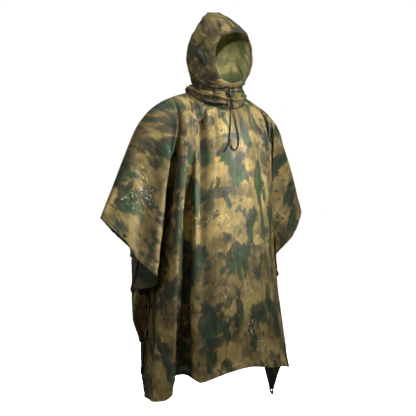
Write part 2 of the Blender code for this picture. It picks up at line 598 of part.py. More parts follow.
def casing(segments=36):
    """The turned tunnel round the face opening that holds the drawcord: a flat band that lies on the hood."""
    placed = []
    for k in range(segments):
        a = 2 * math.pi * (k + 0.5) / segments            # 0 at the wearer's left, pi/2 at the top
        for w in (0.004, 0.013, 0.023):
            placed.append(on_hood((RIM_HALF + w) * math.cos(a), RIM_MID + (RIM_HIGH + w) * math.sin(a), CASING_LIFT))
    faces = []
    for k in range(segments):
        j = (k + 1) % segments
        for c in range(2):
            faces.append((3 * k + c, 3 * k + c + 1, 3 * j + c + 1, 3 * j + c))
    ob = add("face_casing", mesh_of("face_casing", placed, faces), "casing_cloth")
    wall(ob, 0.0016)
    return ob


face_casing = casing()


# ---------------------------------------------------------------- snaps and grommets
CAP = [(0, 0.0019), (0.0045, 0.0019), (0.0063, 0.0009), (0.0063, 0), (0, 0)]
STUD = [(0, 0.0028), (0.0021, 0.0028), (0.0021, 0.0011), (0.0052, 0.0008), (0.0052, 0), (0, 0)]
RING = [(0.0042, 0.0018), (0.0075, 0.0022), (0.0100, 0.0013), (0.0100, 0.0010), (0.0050, 0.0010), (0.0050, -0.0010),
        (0.0095, -0.0010), (0.0095, -0.0014), (0.0042, -0.0018)]
SIDE_NAME = {-1: "right", 1: "left"}
for (face, side, v), (_, _, p, n, _, _, _) in PATCHES.items():
    where = f"{face}_{SIDE_NAME[side]}"
    if v in SNAP_AT:
        name = f"snap_{where}_{SNAP_AT.index(v) + 1}"
        turned(name, CAP if face == "front" else STUD, False, "brass_black", p + n * (WALL / 2 + 0.0004), n, 12)
    else:
        turned(f"grommet_{where}", RING, True, "brass_black", p, n, 12)


# ---------------------------------------------------------------- drawcord and its lock
# Eyelets in the casing: how far round the hood from the middle of its front.
EYELET_RUN = {"right": -0.0270, "left": 0.0140}
EYELET = [(0.0024, 0.0012), (0.0046, 0.0008), (0.0046, 0), (0.0024, 0)]
LOCK_AT, LOCK_SIZE, LOCK_TURN = (-0.0129, -0.1245, 0.0045), (0.020, 0.011, 0.026), math.radians(6)
BORE_R, BORE_X = 0.0028, 0.0047
KNOT_AT, KNOT_R = (-0.0400, -0.1560, -0.1790), 0.0048

# The way of each length of cord: (x, z) with its distance in front of the cloth, from the lock down.
STRAND_COLUMNS = "x z off"
STRANDS = {
    "drawcord_right": [(-0.0155, -0.0363, 0.0095), (-0.0145, -0.0708, 0.0065), (-0.0240, -0.1058, 0.0045),
                       (-0.0342, -0.1366, 0.0042), (-0.0383, -0.1600, 0.0050), (-0.0395, -0.1735, 0.0062)],
    "drawcord_left": [(-0.0072, -0.0284, 0.0100), (0.0010, -0.0548, 0.0080), (0.0003, -0.0899, 0.0050),
                      (-0.0026, -0.1170, 0.0042), (0.0005, -0.1437, 0.0042), (0.0020, -0.1665, 0.0042),
                      (-0.0029, -0.1932, 0.0042), (-0.0123, -0.2112, 0.0042), (-0.0226, -0.2165, 0.0042),
                      (-0.0310, -0.2105, 0.0042), (-0.0345, -0.1960, 0.0048), (-0.0378, -0.1858, 0.0060)],
    "drawcord_tail": [(-0.0432, -0.1846, 0.0060), (-0.0480, -0.1930, 0.0045), (-0.0555, -0.2070, 0.0042),
                      (-0.0619, -0.2184, 0.0042)],
}


def front_surface():
    """The outer faces of the front panel and the neck band, to lay the cord on."""
    graph = bpy.context.evaluated_depsgraph_get()
    verts, faces = [], []
    for name in ("front_panel", "neck_band"):
        ob = bpy.data.objects[name].evaluated_get(graph)
        me, first = ob.to_mesh(), len(verts)
        verts += [v.co.copy() for v in me.vertices]
        faces += [[first + i for i in f.vertices] for f in me.polygons]
        ob.to_mesh_clear()
    return BVHTree.FromPolygons(verts, faces)


def in_front(tree, x, z, off):
    hit, n, _, _ = tree.ray_cast(Vector((x, -0.6, z)), Vector((0, 1, 0)))
    return np.array([x, hit[1] - off / max(-n[1], 0.5), z])


def smooth_way(points, stiff=0, step=0.0075):
    """A POLY route read at even steps from the line through the points with its corners rounded; the first
    'stiff' points are rounded less, so that the cord runs straight through the lock."""
    points = np.array(points, float)
    legs = np.concatenate([[0], np.cumsum(np.linalg.norm(np.diff(points, axis=0), axis=1))])
    run = np.linspace(0, legs[-1], 1200)
    line = np.stack([np.interp(run, legs, points[:, k]) for k in range(3)], 1)
    bend = 0.0022 + 0.0058 * np.clip((run - (legs[stiff - 1] if stiff else -1)) / 0.02, 0, 1)
    bend = np.minimum(bend, np.minimum(run, run[-1] - run) / 3 + 1e-5)
    curve = np.empty_like(line)
    for i, w in enumerate(bend):
        g = np.exp(-0.5 * ((run - run[i]) / w) ** 2)
        curve[i] = (line * g[:, None]).sum(0) / g.sum()
    run = np.concatenate([[0], np.cumsum(np.linalg.norm(np.diff(curve, axis=0), axis=1))])
    at = np.linspace(0, run[-1], max(3, round(run[-1] / step) + 1))
    return np.stack([np.interp(at, run, curve[:, k]) for k in range(3)], 1)


def cord(name, points, stiff=0):
    cu = bpy.data.curves.new(name, "CURVE")
    cu.dimensions = "3D"
    cu.bevel_depth = CORD_D / 2
    cu.bevel_resolution = 2
    cu.use_fill_caps = True
    sp = cu.splines.new("POLY")
    way = smooth_way(points, stiff)
    sp.points.add(len(way) - 1)
    for q, p in zip(sp.points, way):
        q.co = (*map(float, p), 1)
    return add(name, cu, "cord")


def cord_lock():
    """The lock's body, bored for both cords, and its spring button on top."""
    me = bpy.data.meshes.new("cord_lock_body")
    bm = bmesh.new()
    bmesh.ops.create_cube(bm, size=1)
    for v in bm.verts:
        v.co = Vector([c * s for c, s in zip(v.co, LOCK_SIZE)])
    bm.to_mesh(me)
    bm.free()
    body = add("cord_lock_body", me, "plastic")
    mod = body.modifiers.new("edges", "BEVEL")
    mod.width, mod.segments = 0.0032, 2
    turn = Matrix.Translation(Vector(LOCK_AT)) @ Matrix.Rotation(LOCK_TURN, 4, "Z")
    body.matrix_world = turn
    for side in (-1, 1):
        bore = bpy.data.meshes.new("bore")
        bm = bmesh.new()
        bmesh.ops.create_cone(bm, cap_ends=True, segments=12, radius1=BORE_R, radius2=BORE_R, depth=0.06)
        bm.to_mesh(bore)
        bm.free()
        cut = add(f"lock_bore_{SIDE_NAME[side]}", bore, "plastic", cutters)
        cut.matrix_world = turn @ Matrix.Translation(Vector((side * BORE_X, 0, 0)))
        cut.hide_render = True
        cut.display_type = "WIRE"
        mod = body.modifiers.new("bore_" + SIDE_NAME[side], "BOOLEAN")
        mod.operation, mod.solver, mod.object = "DIFFERENCE", "EXACT", cut
    top = turn @ Vector((0, 0, LOCK_SIZE[2] / 2 + 0.0003))
    turned("cord_lock_button", [(0, 0.0036), (0.0014, 0.0036), (0.0020, 0.0030), (0.0020, 0), (0, 0)], False, "plastic", top,
           (0, 0, 1), 12)
    return turn


tree = front_surface()
lock = cord_lock()
for name, side in (("drawcord_right", -1), ("drawcord_left", 1)):
    run = EYELET_RUN[SIDE_NAME[side]]
    w = 0.0135
    z = RIM_MID - (RIM_HIGH + w) * math.sqrt(1 - (run / (RIM_HALF + w)) ** 2)
    seat, above = on_hood(run, z, CASING_LIFT + 0.0008 + 0.0006), on_hood(run, z, CASING_LIFT + 0.0068)
    axis = (above - seat) / np.linalg.norm(above - seat)
    turned(f"cord_eyelet_{SIDE_NAME[side]}", EYELET, True, "brass_black", seat, axis, 12)
    bore = [np.array(lock @ Vector((side * BORE_X, 0, h))) for h in (0.0215, 0.0130, -0.0130, -0.0175)]
    start = [seat + axis * 0.0006, seat + axis * 0.0065]
    cord(name, start + bore + [in_front(tree, *row) for row in STRANDS[name]], 6)
cord("drawcord_tail", [in_front(tree, *row) for row in STRANDS["drawcord_tail"]])
turned("drawcord_knot", [(0, 0.0055), (0.0028, 0.0047), (0.0046, 0.0022), (0.0046, -0.0022), (0.0028, -0.0047), (0, -0.0055)],
       False, "cord", in_front(tree, KNOT_AT[0], KNOT_AT[2], 0.0062), (0.25, 0, 1), 12)
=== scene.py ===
import math

import bmesh
import bpy
import numpy as np
from mathutils import Matrix, Vector
from mathutils.bvhtree import BVHTree


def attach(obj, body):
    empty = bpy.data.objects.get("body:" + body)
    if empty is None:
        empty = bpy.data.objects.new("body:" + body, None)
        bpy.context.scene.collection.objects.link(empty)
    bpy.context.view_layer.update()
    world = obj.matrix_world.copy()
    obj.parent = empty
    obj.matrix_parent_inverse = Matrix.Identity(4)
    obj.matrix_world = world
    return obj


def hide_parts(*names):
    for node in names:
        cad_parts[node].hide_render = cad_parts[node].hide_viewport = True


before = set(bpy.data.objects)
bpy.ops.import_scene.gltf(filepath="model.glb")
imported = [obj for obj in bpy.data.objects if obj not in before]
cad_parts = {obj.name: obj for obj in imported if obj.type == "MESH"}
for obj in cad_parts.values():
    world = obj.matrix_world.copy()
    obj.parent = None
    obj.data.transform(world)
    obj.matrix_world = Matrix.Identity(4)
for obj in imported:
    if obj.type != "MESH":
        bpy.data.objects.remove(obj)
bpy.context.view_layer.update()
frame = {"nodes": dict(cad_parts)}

# Looks for the rain poncho. Metres, +Z up, front towards -Y, +X to the wearer's left.
scene = bpy.context.scene

# ---------------------------------------------------------------- sizes, as the part has them
HALF_WIDTH, FRONT_LENGTH, BACK_LENGTH = 0.75, 1.10, 1.15
NECK_HALF, NECK_FRONT, NECK_BACK = 0.118, 0.130, 0.085
WALL, SEAM_SHIFT, BOW_AT = 0.0012, 0.0010, 0.15
SNAP_EDGE, SNAP_AT = 0.016, (0.12, 0.32, 0.52, 0.72, 0.92)
GROMMET_EDGE, HOLE_R = 0.020, 0.0056
SNAP_FLAT, SNAP_FADE = 0.010, 0.030
SNAP_CLOSED, SNAP_GAP = (0.52, 0.72), 0.0062
CORD_D = 0.0040
HOOD_TURN = math.radians(4)
RIM_HALF, RIM_HIGH, RIM_MID, CASING_LIFT = 0.088, 0.1000, 0.1430, 0.0054
LENGTH = {"front": FRONT_LENGTH, "back": BACK_LENGTH}
SIDE_NAME = {-1: "right", 1: "left"}

# u out y z
RIDGE = {
    -1: [(0.110, 0.112, 0.020, 0.012), (0.160, 0.163, 0.021, -0.001), (0.225, 0.224, 0.022, -0.024),
         (0.275, 0.268, 0.024, -0.050), (0.310, 0.294, 0.026, -0.073), (0.350, 0.318, 0.028, -0.108),
         (0.480, 0.372, 0.036, -0.226), (0.620, 0.428, 0.044, -0.350), (0.750, 0.480, 0.050, -0.466)],
    1: [(0.110, 0.112, 0.020, 0.016), (0.160, 0.163, 0.021, -0.004), (0.225, 0.222, 0.022, -0.036),
        (0.275, 0.262, 0.024, -0.066), (0.310, 0.283, 0.026, -0.095), (0.350, 0.301, 0.028, -0.132),
        (0.480, 0.362, 0.036, -0.240), (0.620, 0.420, 0.044, -0.365), (0.750, 0.470, 0.050, -0.472)],
}

# name u0 ue ve out y z bow_y bow_out round
FOLDS = {
    ("front", -1): [
        ("centre", 0.000, 0.000, 1.10, 0.000, -0.236, -1.028, -0.030, 0.000, 0.030),
        ("front", 0.085, 0.110, 1.10, 0.105, -0.216, -1.050, -0.045, 0.000, 0.030),
        ("lip", 0.140, 0.215, 1.10, 0.186, -0.180, -1.084, -0.085, 0.000, 0.018),
        ("vale", 0.149, 0.305, 1.10, 0.193, -0.090, -1.060, -0.095, 0.000, 0.016),
        ("valley", 0.158, 0.345, 1.10, 0.233, -0.068, -1.066, -0.102, 0.000, 0.010),
        ("ridge", 0.172, 0.462, 1.10, 0.298, -0.174, -1.108, -0.112, 0.000, 0.006),
        ("fore", 0.178, 0.498, 1.10, 0.320, -0.148, -1.135, -0.109, 0.000, 0.010),
        ("strip", 0.184, 0.560, 1.10, 0.332, -0.080, -1.152, -0.106, 0.000, 0.016),
        ("corner", 0.196, 0.750, 1.10, 0.276, 0.090, -1.176, -0.098, 0.000, 0.006),
        ("low", 0.199, 0.750, 0.94, 0.287, 0.090, -1.100, -0.097, 0.000, 0.012),
        ("snap_4", 0.203, 0.750, 0.72, 0.296, 0.073, -0.958, -0.096, 0.000, 0.020),
        ("hip", 0.206, 0.750, 0.625, 0.345, 0.046, -0.866, -0.096, 0.000, 0.012),
        ("snap_3", 0.209, 0.750, 0.52, 0.356, 0.038, -0.745, -0.096, 0.000, 0.016),
        ("inner", 0.213, 0.750, 0.40, 0.304, -0.052, -0.722, -0.098, 0.000, 0.012),
        ("cuff", 0.219, 0.750, 0.31, 0.335, -0.121, -0.676, -0.100, 0.000, 0.007),
        ("cuff_low", 0.260, 0.750, 0.20, 0.372, -0.021, -0.612, -0.080, 0.003, 0.012),
        ("cuff_mid", 0.330, 0.750, 0.15, 0.405, -0.035, -0.560, -0.040, 0.010, 0.020),
        ("tip", 0.750, 0.750, 0.00, 0.480, 0.050, -0.466, 0.000, 0.000, 0.004),
    ],
    ("front", 1): [
        ("centre", 0.000, 0.000, 1.10, 0.000, -0.236, -1.028, -0.030, 0.000, 0.030),
        ("front", 0.085, 0.120, 1.10, 0.115, -0.222, -1.050, -0.045, 0.000, 0.030),
        ("roll", 0.130, 0.260, 1.10, 0.235, -0.160, -1.068, -0.075, 0.000, 0.030),
        ("dip", 0.150, 0.330, 1.10, 0.270, -0.100, -1.085, -0.082, 0.000, 0.020),
        ("fold", 0.172, 0.430, 1.10, 0.338, -0.036, -1.112, -0.090, 0.000, 0.012),
        ("behind", 0.186, 0.560, 1.10, 0.337, 0.020, -1.114, -0.088, 0.000, 0.020),
        ("corner", 0.200, 0.750, 1.10, 0.335, 0.081, -1.262, -0.086, 0.000, 0.003),
        ("low", 0.203, 0.750, 0.98, 0.319, 0.088, -1.135, -0.086, 0.000, 0.012),
        ("snap_4", 0.207, 0.750, 0.72, 0.332, 0.064, -0.930, -0.085, 0.000, 0.020),
        ("snap_3", 0.213, 0.750, 0.52, 0.333, 0.040, -0.735, -0.085, 0.000, 0.016),
        ("inner", 0.218, 0.750, 0.40, 0.314, 0.016, -0.690, -0.085, 0.000, 0.016),
        ("cuff", 0.224, 0.750, 0.30, 0.290, -0.006, -0.640, -0.084, 0.000, 0.016),
        ("cuff_mid", 0.330, 0.750, 0.15, 0.362, -0.030, -0.566, -0.038, 0.010, 0.020),
        ("tip", 0.750, 0.750, 0.00, 0.470, 0.050, -0.472, 0.000, 0.000, 0.004),
    ],
    ("back", -1): [
        ("centre", 0.000, 0.000, 1.15, 0.000, 0.220, -1.085, 0.045, 0.000, 0.030),
        ("vale_3", 0.060, 0.100, 1.15, 0.055, 0.165, -1.090, 0.050, 0.000, 0.025),
        ("roll_3", 0.100, 0.200, 1.15, 0.090, 0.236, -1.100, 0.062, 0.000, 0.025),
        ("vale_2", 0.125, 0.310, 1.15, 0.130, 0.140, -1.105, 0.066, 0.000, 0.025),
        ("roll_2", 0.150, 0.420, 1.15, 0.164, 0.214, -1.115, 0.070, 0.000, 0.022),
        ("vale_1", 0.170, 0.530, 1.15, 0.190, 0.128, -1.120, 0.070, 0.000, 0.022),
        ("roll_1", 0.186, 0.640, 1.15, 0.222, 0.172, -1.135, 0.070, 0.000, 0.020),
        ("corner", 0.196, 0.750, 1.15, 0.250, 0.120, -1.162, 0.068, 0.000, 0.020),
        ("low", 0.199, 0.750, 0.95, 0.282, 0.104, -1.100, 0.066, 0.000, 0.020),
        ("snap_4", 0.203, 0.750, 0.72, 0.294, 0.087, -0.958, 0.064, 0.000, 0.020),
        ("hip", 0.206, 0.750, 0.625, 0.341, 0.061, -0.866, 0.063, 0.000, 0.012),
        ("snap_3", 0.209, 0.750, 0.52, 0.351, 0.052, -0.745, 0.062, 0.000, 0.016),
        ("inner", 0.213, 0.750, 0.40, 0.326, 0.094, -0.672, 0.062, 0.000, 0.016),
        ("cuff", 0.219, 0.750, 0.26, 0.326, 0.108, -0.590, 0.062, 0.000, 0.014),
        ("cuff_mid", 0.330, 0.750, 0.13, 0.405, 0.085, -0.530, 0.030, 0.008, 0.020),
        ("tip", 0.750, 0.750, 0.00, 0.480, 0.050, -0.466, 0.000, 0.000, 0.004),
    ],
    ("back", 1): [
        ("centre", 0.000, 0.000, 1.15, 0.000, 0.220, -1.085, 0.045, 0.000, 0.030),
        ("vale_3", 0.060, 0.110, 1.15, 0.075, 0.168, -1.085, 0.050, 0.000, 0.025),
        ("roll_3", 0.100, 0.220, 1.15, 0.120, 0.240, -1.095, 0.065, 0.000, 0.025),
        ("vale_2", 0.127, 0.330, 1.15, 0.180, 0.155, -1.100, 0.066, 0.000, 0.025),
        ("roll_2", 0.152, 0.440, 1.15, 0.235, 0.220, -1.110, 0.070, 0.000, 0.022),
        ("vale_1", 0.172, 0.550, 1.15, 0.268, 0.140, -1.120, 0.070, 0.000, 0.022),
        ("roll_1", 0.186, 0.615, 1.15, 0.325, 0.186, -1.128, 0.070, 0.000, 0.022),
        ("turn", 0.192, 0.660, 1.15, 0.365, 0.150, -1.150, 0.069, 0.000, 0.005),
        ("corner", 0.200, 0.750, 1.15, 0.346, 0.106, -1.252, 0.068, 0.000, 0.004),
        ("snap_4", 0.207, 0.750, 0.72, 0.326, 0.080, -0.930, 0.064, 0.000, 0.020),
        ("snap_3", 0.213, 0.750, 0.52, 0.329, 0.055, -0.735, 0.062, 0.000, 0.016),
        ("inner", 0.218, 0.750, 0.40, 0.308, 0.094, -0.680, 0.062, 0.000, 0.016),
        ("cuff", 0.224, 0.750, 0.26, 0.326, 0.112, -0.595, 0.062, 0.000, 0.016),
        ("cuff_mid", 0.330, 0.750, 0.13, 0.395, 0.082, -0.535, 0.030, 0.008, 0.020),
        ("tip", 0.750, 0.750, 0.00, 0.470, 0.050, -0.472, 0.000, 0.000, 0.004),
    ],
}

# z half front back open
HOOD = np.array([
    (0.028, 0.090, -0.096, 0.088, 0.000), (0.037, 0.090, -0.105, 0.091, 0.000), (0.046, 0.089, -0.108, 0.092, 0.034),
    (0.066, 0.090, -0.110, 0.094, 0.060), (0.095, 0.098, -0.110, 0.099, 0.078), (0.142, 0.104, -0.110, 0.106, 0.088),
    (0.190, 0.101, -0.112, 0.102, 0.079), (0.218, 0.094, -0.117, 0.095, 0.060), (0.236, 0.088, -0.123, 0.090, 0.036),
    (0.245, 0.083, -0.127, 0.087, 0.000), (0.272, 0.067, -0.116, 0.079, 0.000), (0.298, 0.046, -0.088, 0.071, 0.000),
    (0.318, 0.026, -0.056, 0.063, 0.000), (0.334, 0.002, -0.020, 0.056, 0.000),
])


# ---------------------------------------------------------------- the form of the cloth
def monotone(q, xs, ys):
    xs, ys = np.asarray(xs, float), np.asarray(ys, float)
    h = np.diff(xs)
    d = np.diff(ys) / h
    m = np.zeros_like(ys)
    with np.errstate(divide="ignore", invalid="ignore"):
        m[1:-1] = np.where(d[1:] * d[:-1] > 0, 2 * d[1:] * d[:-1] / (d[1:] + d[:-1]), 0)
    m[0], m[-1] = d[0], d[-1]
    q = np.clip(q, xs[0], xs[-1])
    k = np.clip(np.searchsorted(xs, q, "right") - 1, 0, len(h) - 1)
    s = (q - xs[k]) / h[k]
    return ((2 * s**3 - 3 * s**2 + 1) * ys[k] + (s**3 - 2 * s**2 + s) * h[k] * m[k]
            + (-2 * s**3 + 3 * s**2) * ys[k + 1] + (s**3 - s**2) * h[k] * m[k + 1])


def neck_depth(face, u):
    k = NECK_FRONT if face == "front" else NECK_BACK
    return k * np.sqrt(np.clip(1 - (np.abs(u) / NECK_HALF) ** 2, 0, 1))


def neck_seam(face, u):
    a = np.arccos(np.clip(np.abs(u) / NECK_HALF, 0, 1))
    x = np.sign(u) * NECK_HALF * np.cos(a)
    if face == "front":
        y, z = 0.020 - 0.128 * np.sin(a), 0.012 - 0.070 * np.sin(a) ** 1.3
    else:
        y, z = 0.020 + 0.083 * np.sin(a), 0.012 + 0.020 * np.sin(a)
    return np.stack([x, y, z + 0.06 * x], -1)


def ridge(side, u):
    rows = np.array(RIDGE[side])
    x, y, z = (monotone(u, rows[:, 0], rows[:, k]) for k in (1, 2, 3))
    return np.stack([side * x, y, z], -1)


def cloth_lines(face, samples=900):
    """All lines of a panel, over s: the distance round its edge from the middle of the hem."""
    length = LENGTH[face]
    s_rows, rows = [], []
    for side in (-1, 1):
        for name, u0, ue, ve, out, y, z, bow_y, bow_out, rnd in FOLDS[face, side]:
            if name == "centre" and side == 1:
                continue
            s_rows.append(side * (ue if ve >= length else HALF_WIDTH + length - ve))
            rows.append((side * u0, side * out, y, z, bow_y, side * bow_out, rnd))
    order = np.argsort(s_rows)
    s_rows, rows = np.array(s_rows)[order], np.array(rows)[order]
    s = np.linspace(s_rows[0], s_rows[-1], 2 * samples + 1)
    step = s[1] - s[0]
    u0, bow_y, bow_x, rnd = (np.interp(s, s_rows, rows[:, k]) for k in (0, 4, 5, 6))
    end = np.stack([np.interp(s, s_rows, rows[:, k]) for k in (1, 2, 3)], 1)
    pad = 90
    ext = np.concatenate([2 * end[0] - end[pad:0:-1], end, 2 * end[-1] - end[-2:-pad - 2:-1]])
    rounded = np.empty_like(end)
    for i, w in enumerate(np.maximum(rnd, step * 0.6)):
        j = np.arange(max(0, i + pad - int(3 * w / step) - 1), min(len(ext), i + pad + int(3 * w / step) + 2))
        g = np.exp(-0.5 * ((j - i - pad) * step / w) ** 2)
        rounded[i] = (ext[j] * g[:, None]).sum(0) / g.sum()
    rounded[0], rounded[-1] = end[0], end[-1]
    a = np.abs(s)
    ue, ve = np.sign(s) * np.minimum(a, HALF_WIDTH), np.minimum(length, length + HALF_WIDTH - a)
    inside = np.abs(u0) < NECK_HALF
    v0 = np.where(inside, neck_depth(face, u0), 0.0)
    far = np.maximum(np.abs(u0), NECK_HALF)
    top = np.where(inside[:, None], neck_seam(face, u0), np.where((s < 0)[:, None], ridge(-1, far), ridge(1, far)))
    shift = -SEAM_SHIFT if face == "front" else SEAM_SHIFT
    top[:, 1] += np.where(inside, 0, shift)
    rounded[:, 1] += shift * np.clip((a - (HALF_WIDTH + length - 0.1)) / 0.1, 0, 1)
    return dict(face=face, s=s, u0=u0, v0=v0, ue=ue, ve=ve, top=top, end=rounded, bow_x=bow_x, bow_y=bow_y)


def on_line(lines, s, t):
    s, t = np.asarray(s, float), np.clip(np.asarray(t, float), 0, 1)
    g = lambda a: np.interp(s, lines["s"], a)
    b = (t / BOW_AT) * np.exp(1 - t / BOW_AT) - t * (1 / BOW_AT) * math.exp(1 - 1 / BOW_AT)
    p = [g(lines["top"][:, k]) * (1 - t) + g(lines["end"][:, k]) * t for k in range(3)]
    p[0] = p[0] + b * g(lines["bow_x"])
    p[1] = p[1] + b * g(lines["bow_y"])
    return np.stack(p, -1)


def line_through(lines, u, v):
    """The line s and share t that pass through flat points."""
    u, v = np.broadcast_arrays(np.asarray(u, float), np.asarray(v, float))
    side = np.where(u >= 0, 1.0, -1.0)
    length = LENGTH[lines["face"]]
    k = NECK_FRONT if lines["face"] == "front" else NECK_BACK
    g = lambda s, a: np.interp(s, lines["s"], lines[a])
    need = NECK_HALF * np.sqrt(np.clip(1 - (v / k) ** 2, 0, 1))         # the lines start at |u0| of this or more
    low, high = np.zeros_like(u), np.where(v < length - 1e-9, HALF_WIDTH + length - v, HALF_WIDTH)
    a, b = low.copy(), high.copy()
    for _ in range(30):                                               # where |u0| passes need
        m = (a + b) / 2
        less = np.abs(g(side * m, "u0")) < need - 1e-9
        a, b = np.where(less, m, a), np.where(less, b, m)
    low = np.where(need > 1e-9, b, 0.0)
    a, b = low, high
    share = lambda s: np.clip((v - g(s, "v0")) / np.maximum(g(s, "ve") - g(s, "v0"), 1e-6), 0, 1)
    for _ in range(36):
        m = (a + b) / 2
        s = side * m
        t = share(s)
        at = np.abs(g(s, "u0") + (g(s, "ue") - g(s, "u0")) * t)
        less = at < np.abs(u)
        a, b = np.where(less, m, a), np.where(less, b, m)
    s = side * (a + b) / 2
    return s, share(s)


def on_cloth(lines, u, v):
    s, t = line_through(lines, u, v)
    return on_line(lines, s, t)


def frame_at(lines, u, v, h=0.018):
    p = on_cloth(lines, u, v)
    side = math.copysign(1, u)
    du = (p - on_cloth(lines, u - side * h, v)) * side
    dv = on_cloth(lines, u, v + h) - on_cloth(lines, u, v - h)
    gather = np.clip([np.linalg.norm(du) / h, np.linalg.norm(dv) / (2 * h)], 0.68, 1.0)
    du, dv = du / np.linalg.norm(du), dv / np.linalg.norm(dv)
    n = np.cross(dv, du) if lines["face"] == "front" else np.cross(du, dv)
    n /= np.linalg.norm(n)
    dv = np.cross(du, n) if lines["face"] == "front" else np.cross(n, du)
    return p, n, du, dv, gather


LINES = {face: cloth_lines(face) for face in ("front", "back")}
PATCHES = {}
for face in ("front", "back"):
    for side in (-1, 1):
        for v in SNAP_AT:
            u = side * (HALF_WIDTH - SNAP_EDGE)
            p, n, du, dv, gather = frame_at(LINES[face], u, v)
            if face == "back" and v in SNAP_CLOSED:
                _, _, q, m, du, dv, _ = PATCHES["front", side, v]
                p, n = q - m * SNAP_GAP, -m
            PATCHES[face, side, v] = (u, v, p, n, du, dv, gather)
        u, v = side * (HALF_WIDTH - GROMMET_EDGE), LENGTH[face] - GROMMET_EDGE
        PATCHES[face, side, v] = (u, v, *frame_at(LINES[face], u, v))


def settle(face, u, v, p):
    """Draw the cloth on to the flat ground round each snap and grommet. Also says how free each point is."""
    free = np.ones(u.shape)
    for key, (pu, pv, c, n, du, dv, gather) in PATCHES.items():
        if key[0] != face:
            continue
        d = np.hypot(u - pu, v - pv)
        w = np.clip((SNAP_FADE - d) / (SNAP_FADE - SNAP_FLAT), 0, 1)
        w = w * w * (3 - 2 * w)
        flat = c + du * (gather[0] * (u - pu))[..., None] + dv * (gather[1] * (v - pv))[..., None]
        p = p * (1 - w[..., None]) + flat * w[..., None]
        free = free * (1 - w)
    return p, free


# ---------------------------------------------------------------- camera
cam_data = bpy.data.cameras.new("camera")
cam = bpy.data.objects.new("camera", cam_data)
scene.collection.objects.link(cam)
AZIMUTH, DISTANCE, CAM_Z, PITCH = math.radians(-33), 3.6, -0.25, math.radians(3.016)
forward = Vector((-math.sin(AZIMUTH), math.cos(AZIMUTH), 0))
cam.location = -DISTANCE * forward + Vector((0, 0, CAM_Z))
cam.rotation_euler = (math.pi / 2 - PITCH, 0, AZIMUTH)
cam_data.sensor_width, cam_data.lens = 36.0, 78.84
cam_data.shift_x = -8 / 416
cam_data.clip_start, cam_data.clip_end = 0.05, 60
scene.camera = cam


# ---------------------------------------------------------------- shader helper
class Shader:
    """A material whose nodes are made by short calls."""

    def __init__(self, name):
        self.m = bpy.data.materials.new(name)
        self.m.use_nodes = True
        self.t = self.m.node_tree
        self.b = self.t.nodes["Principled BSDF"]
        self.out = self.t.nodes["Material Output"]

    def node(self, kind, inputs=None, **props):
        n = self.t.nodes.new(kind)
        for k, v in props.items():
            setattr(n, k, v)
        for k, v in (inputs or {}).items():
            self.put(n.inputs[k], v)
        return n

    def put(self, socket, value):
        if isinstance(value, bpy.types.NodeSocket):
            self.t.links.new(value, socket)
        else:
            socket.default_value = value

    def math(self, op, a, b=0.0, c=None, clamp=False):
        n = self.t.nodes.new("ShaderNodeMath")
        n.operation, n.use_clamp = op, clamp
        self.put(n.inputs[0], a)
        self.put(n.inputs[1], b)
        if c is not None:
            self.put(n.inputs[2], c)
        return n.outputs[0]

    def step(self, value, low, high, out_low=0.0, out_high=1.0):
        n = self.node("ShaderNodeMapRange", interpolation_type="SMOOTHSTEP")
        for k, v in ((0, value), (1, low), (2, high), (3, out_low), (4, out_high)):
            self.put(n.inputs[k], v)
        return n.outputs[0]

    def noise(self, vector, scale, detail=2.0, rough=0.5, distortion=0.0, kind="2D"):
        n = self.node("ShaderNodeTexNoise", noise_dimensions=kind)
        self.put(n.inputs["Vector"], vector)
        for k, v in (("Scale", scale), ("Detail", detail), ("Roughness", rough), ("Distortion", distortion)):
            n.inputs[k].default_value = v
        return n.outputs["Fac"]

    def place(self, vector, shift=(0, 0, 0), scale=(1, 1, 1), turn=0.0):
        n = self.node("ShaderNodeMapping")
        self.put(n.inputs["Vector"], vector)
        n.inputs["Location"].default_value = shift
        n.inputs["Scale"].default_value = scale
        n.inputs["Rotation"].default_value = (0, 0, turn)
        return n.outputs["Vector"]

    def mix(self, fac, a, b, mode="MIX"):
        n = self.t.nodes.new("ShaderNodeMix")
        n.data_type, n.blend_type = "RGBA", mode
        for socket, value in ((n.inputs[0], fac), (n.inputs[6], a), (n.inputs[7], b)):
            if not isinstance(value, bpy.types.NodeSocket) and isinstance(value, tuple) and len(value) == 3:
                value = (*value, 1)
            self.put(socket, value)
        return n.outputs[2]

    def bump(self, height, strength, distance, normal=None):
        n = self.node("ShaderNodeBump")
        self.put(n.inputs["Height"], height)
        n.inputs["Strength"].default_value, n.inputs["Distance"].default_value = strength, distance
        if normal is not None:
            self.put(n.inputs["Normal"], normal)
        return n.outputs["Normal"]

    def finish(self, **inputs):
        for k, v in inputs.items():
            k = k.replace("_", " ")
            if isinstance(v, tuple) and len(v) == 3:
                v = (*v, 1)
            self.put(self.b.inputs[k], v)
        return self.m


KHAKI, TAN, OLIVE = (0.200, 0.149, 0.052), (0.345, 0.252, 0.088), (0.088, 0.068, 0.023)
BROWN, GREEN, DARK_GREEN = (0.058, 0.037, 0.020), (0.030, 0.064, 0.023), (0.014, 0.031, 0.014)
SLATE, CHARCOAL, CREAM = (0.024, 0.030, 0.023), (0.012, 0.013, 0.012), (0.600, 0.490, 0.260)


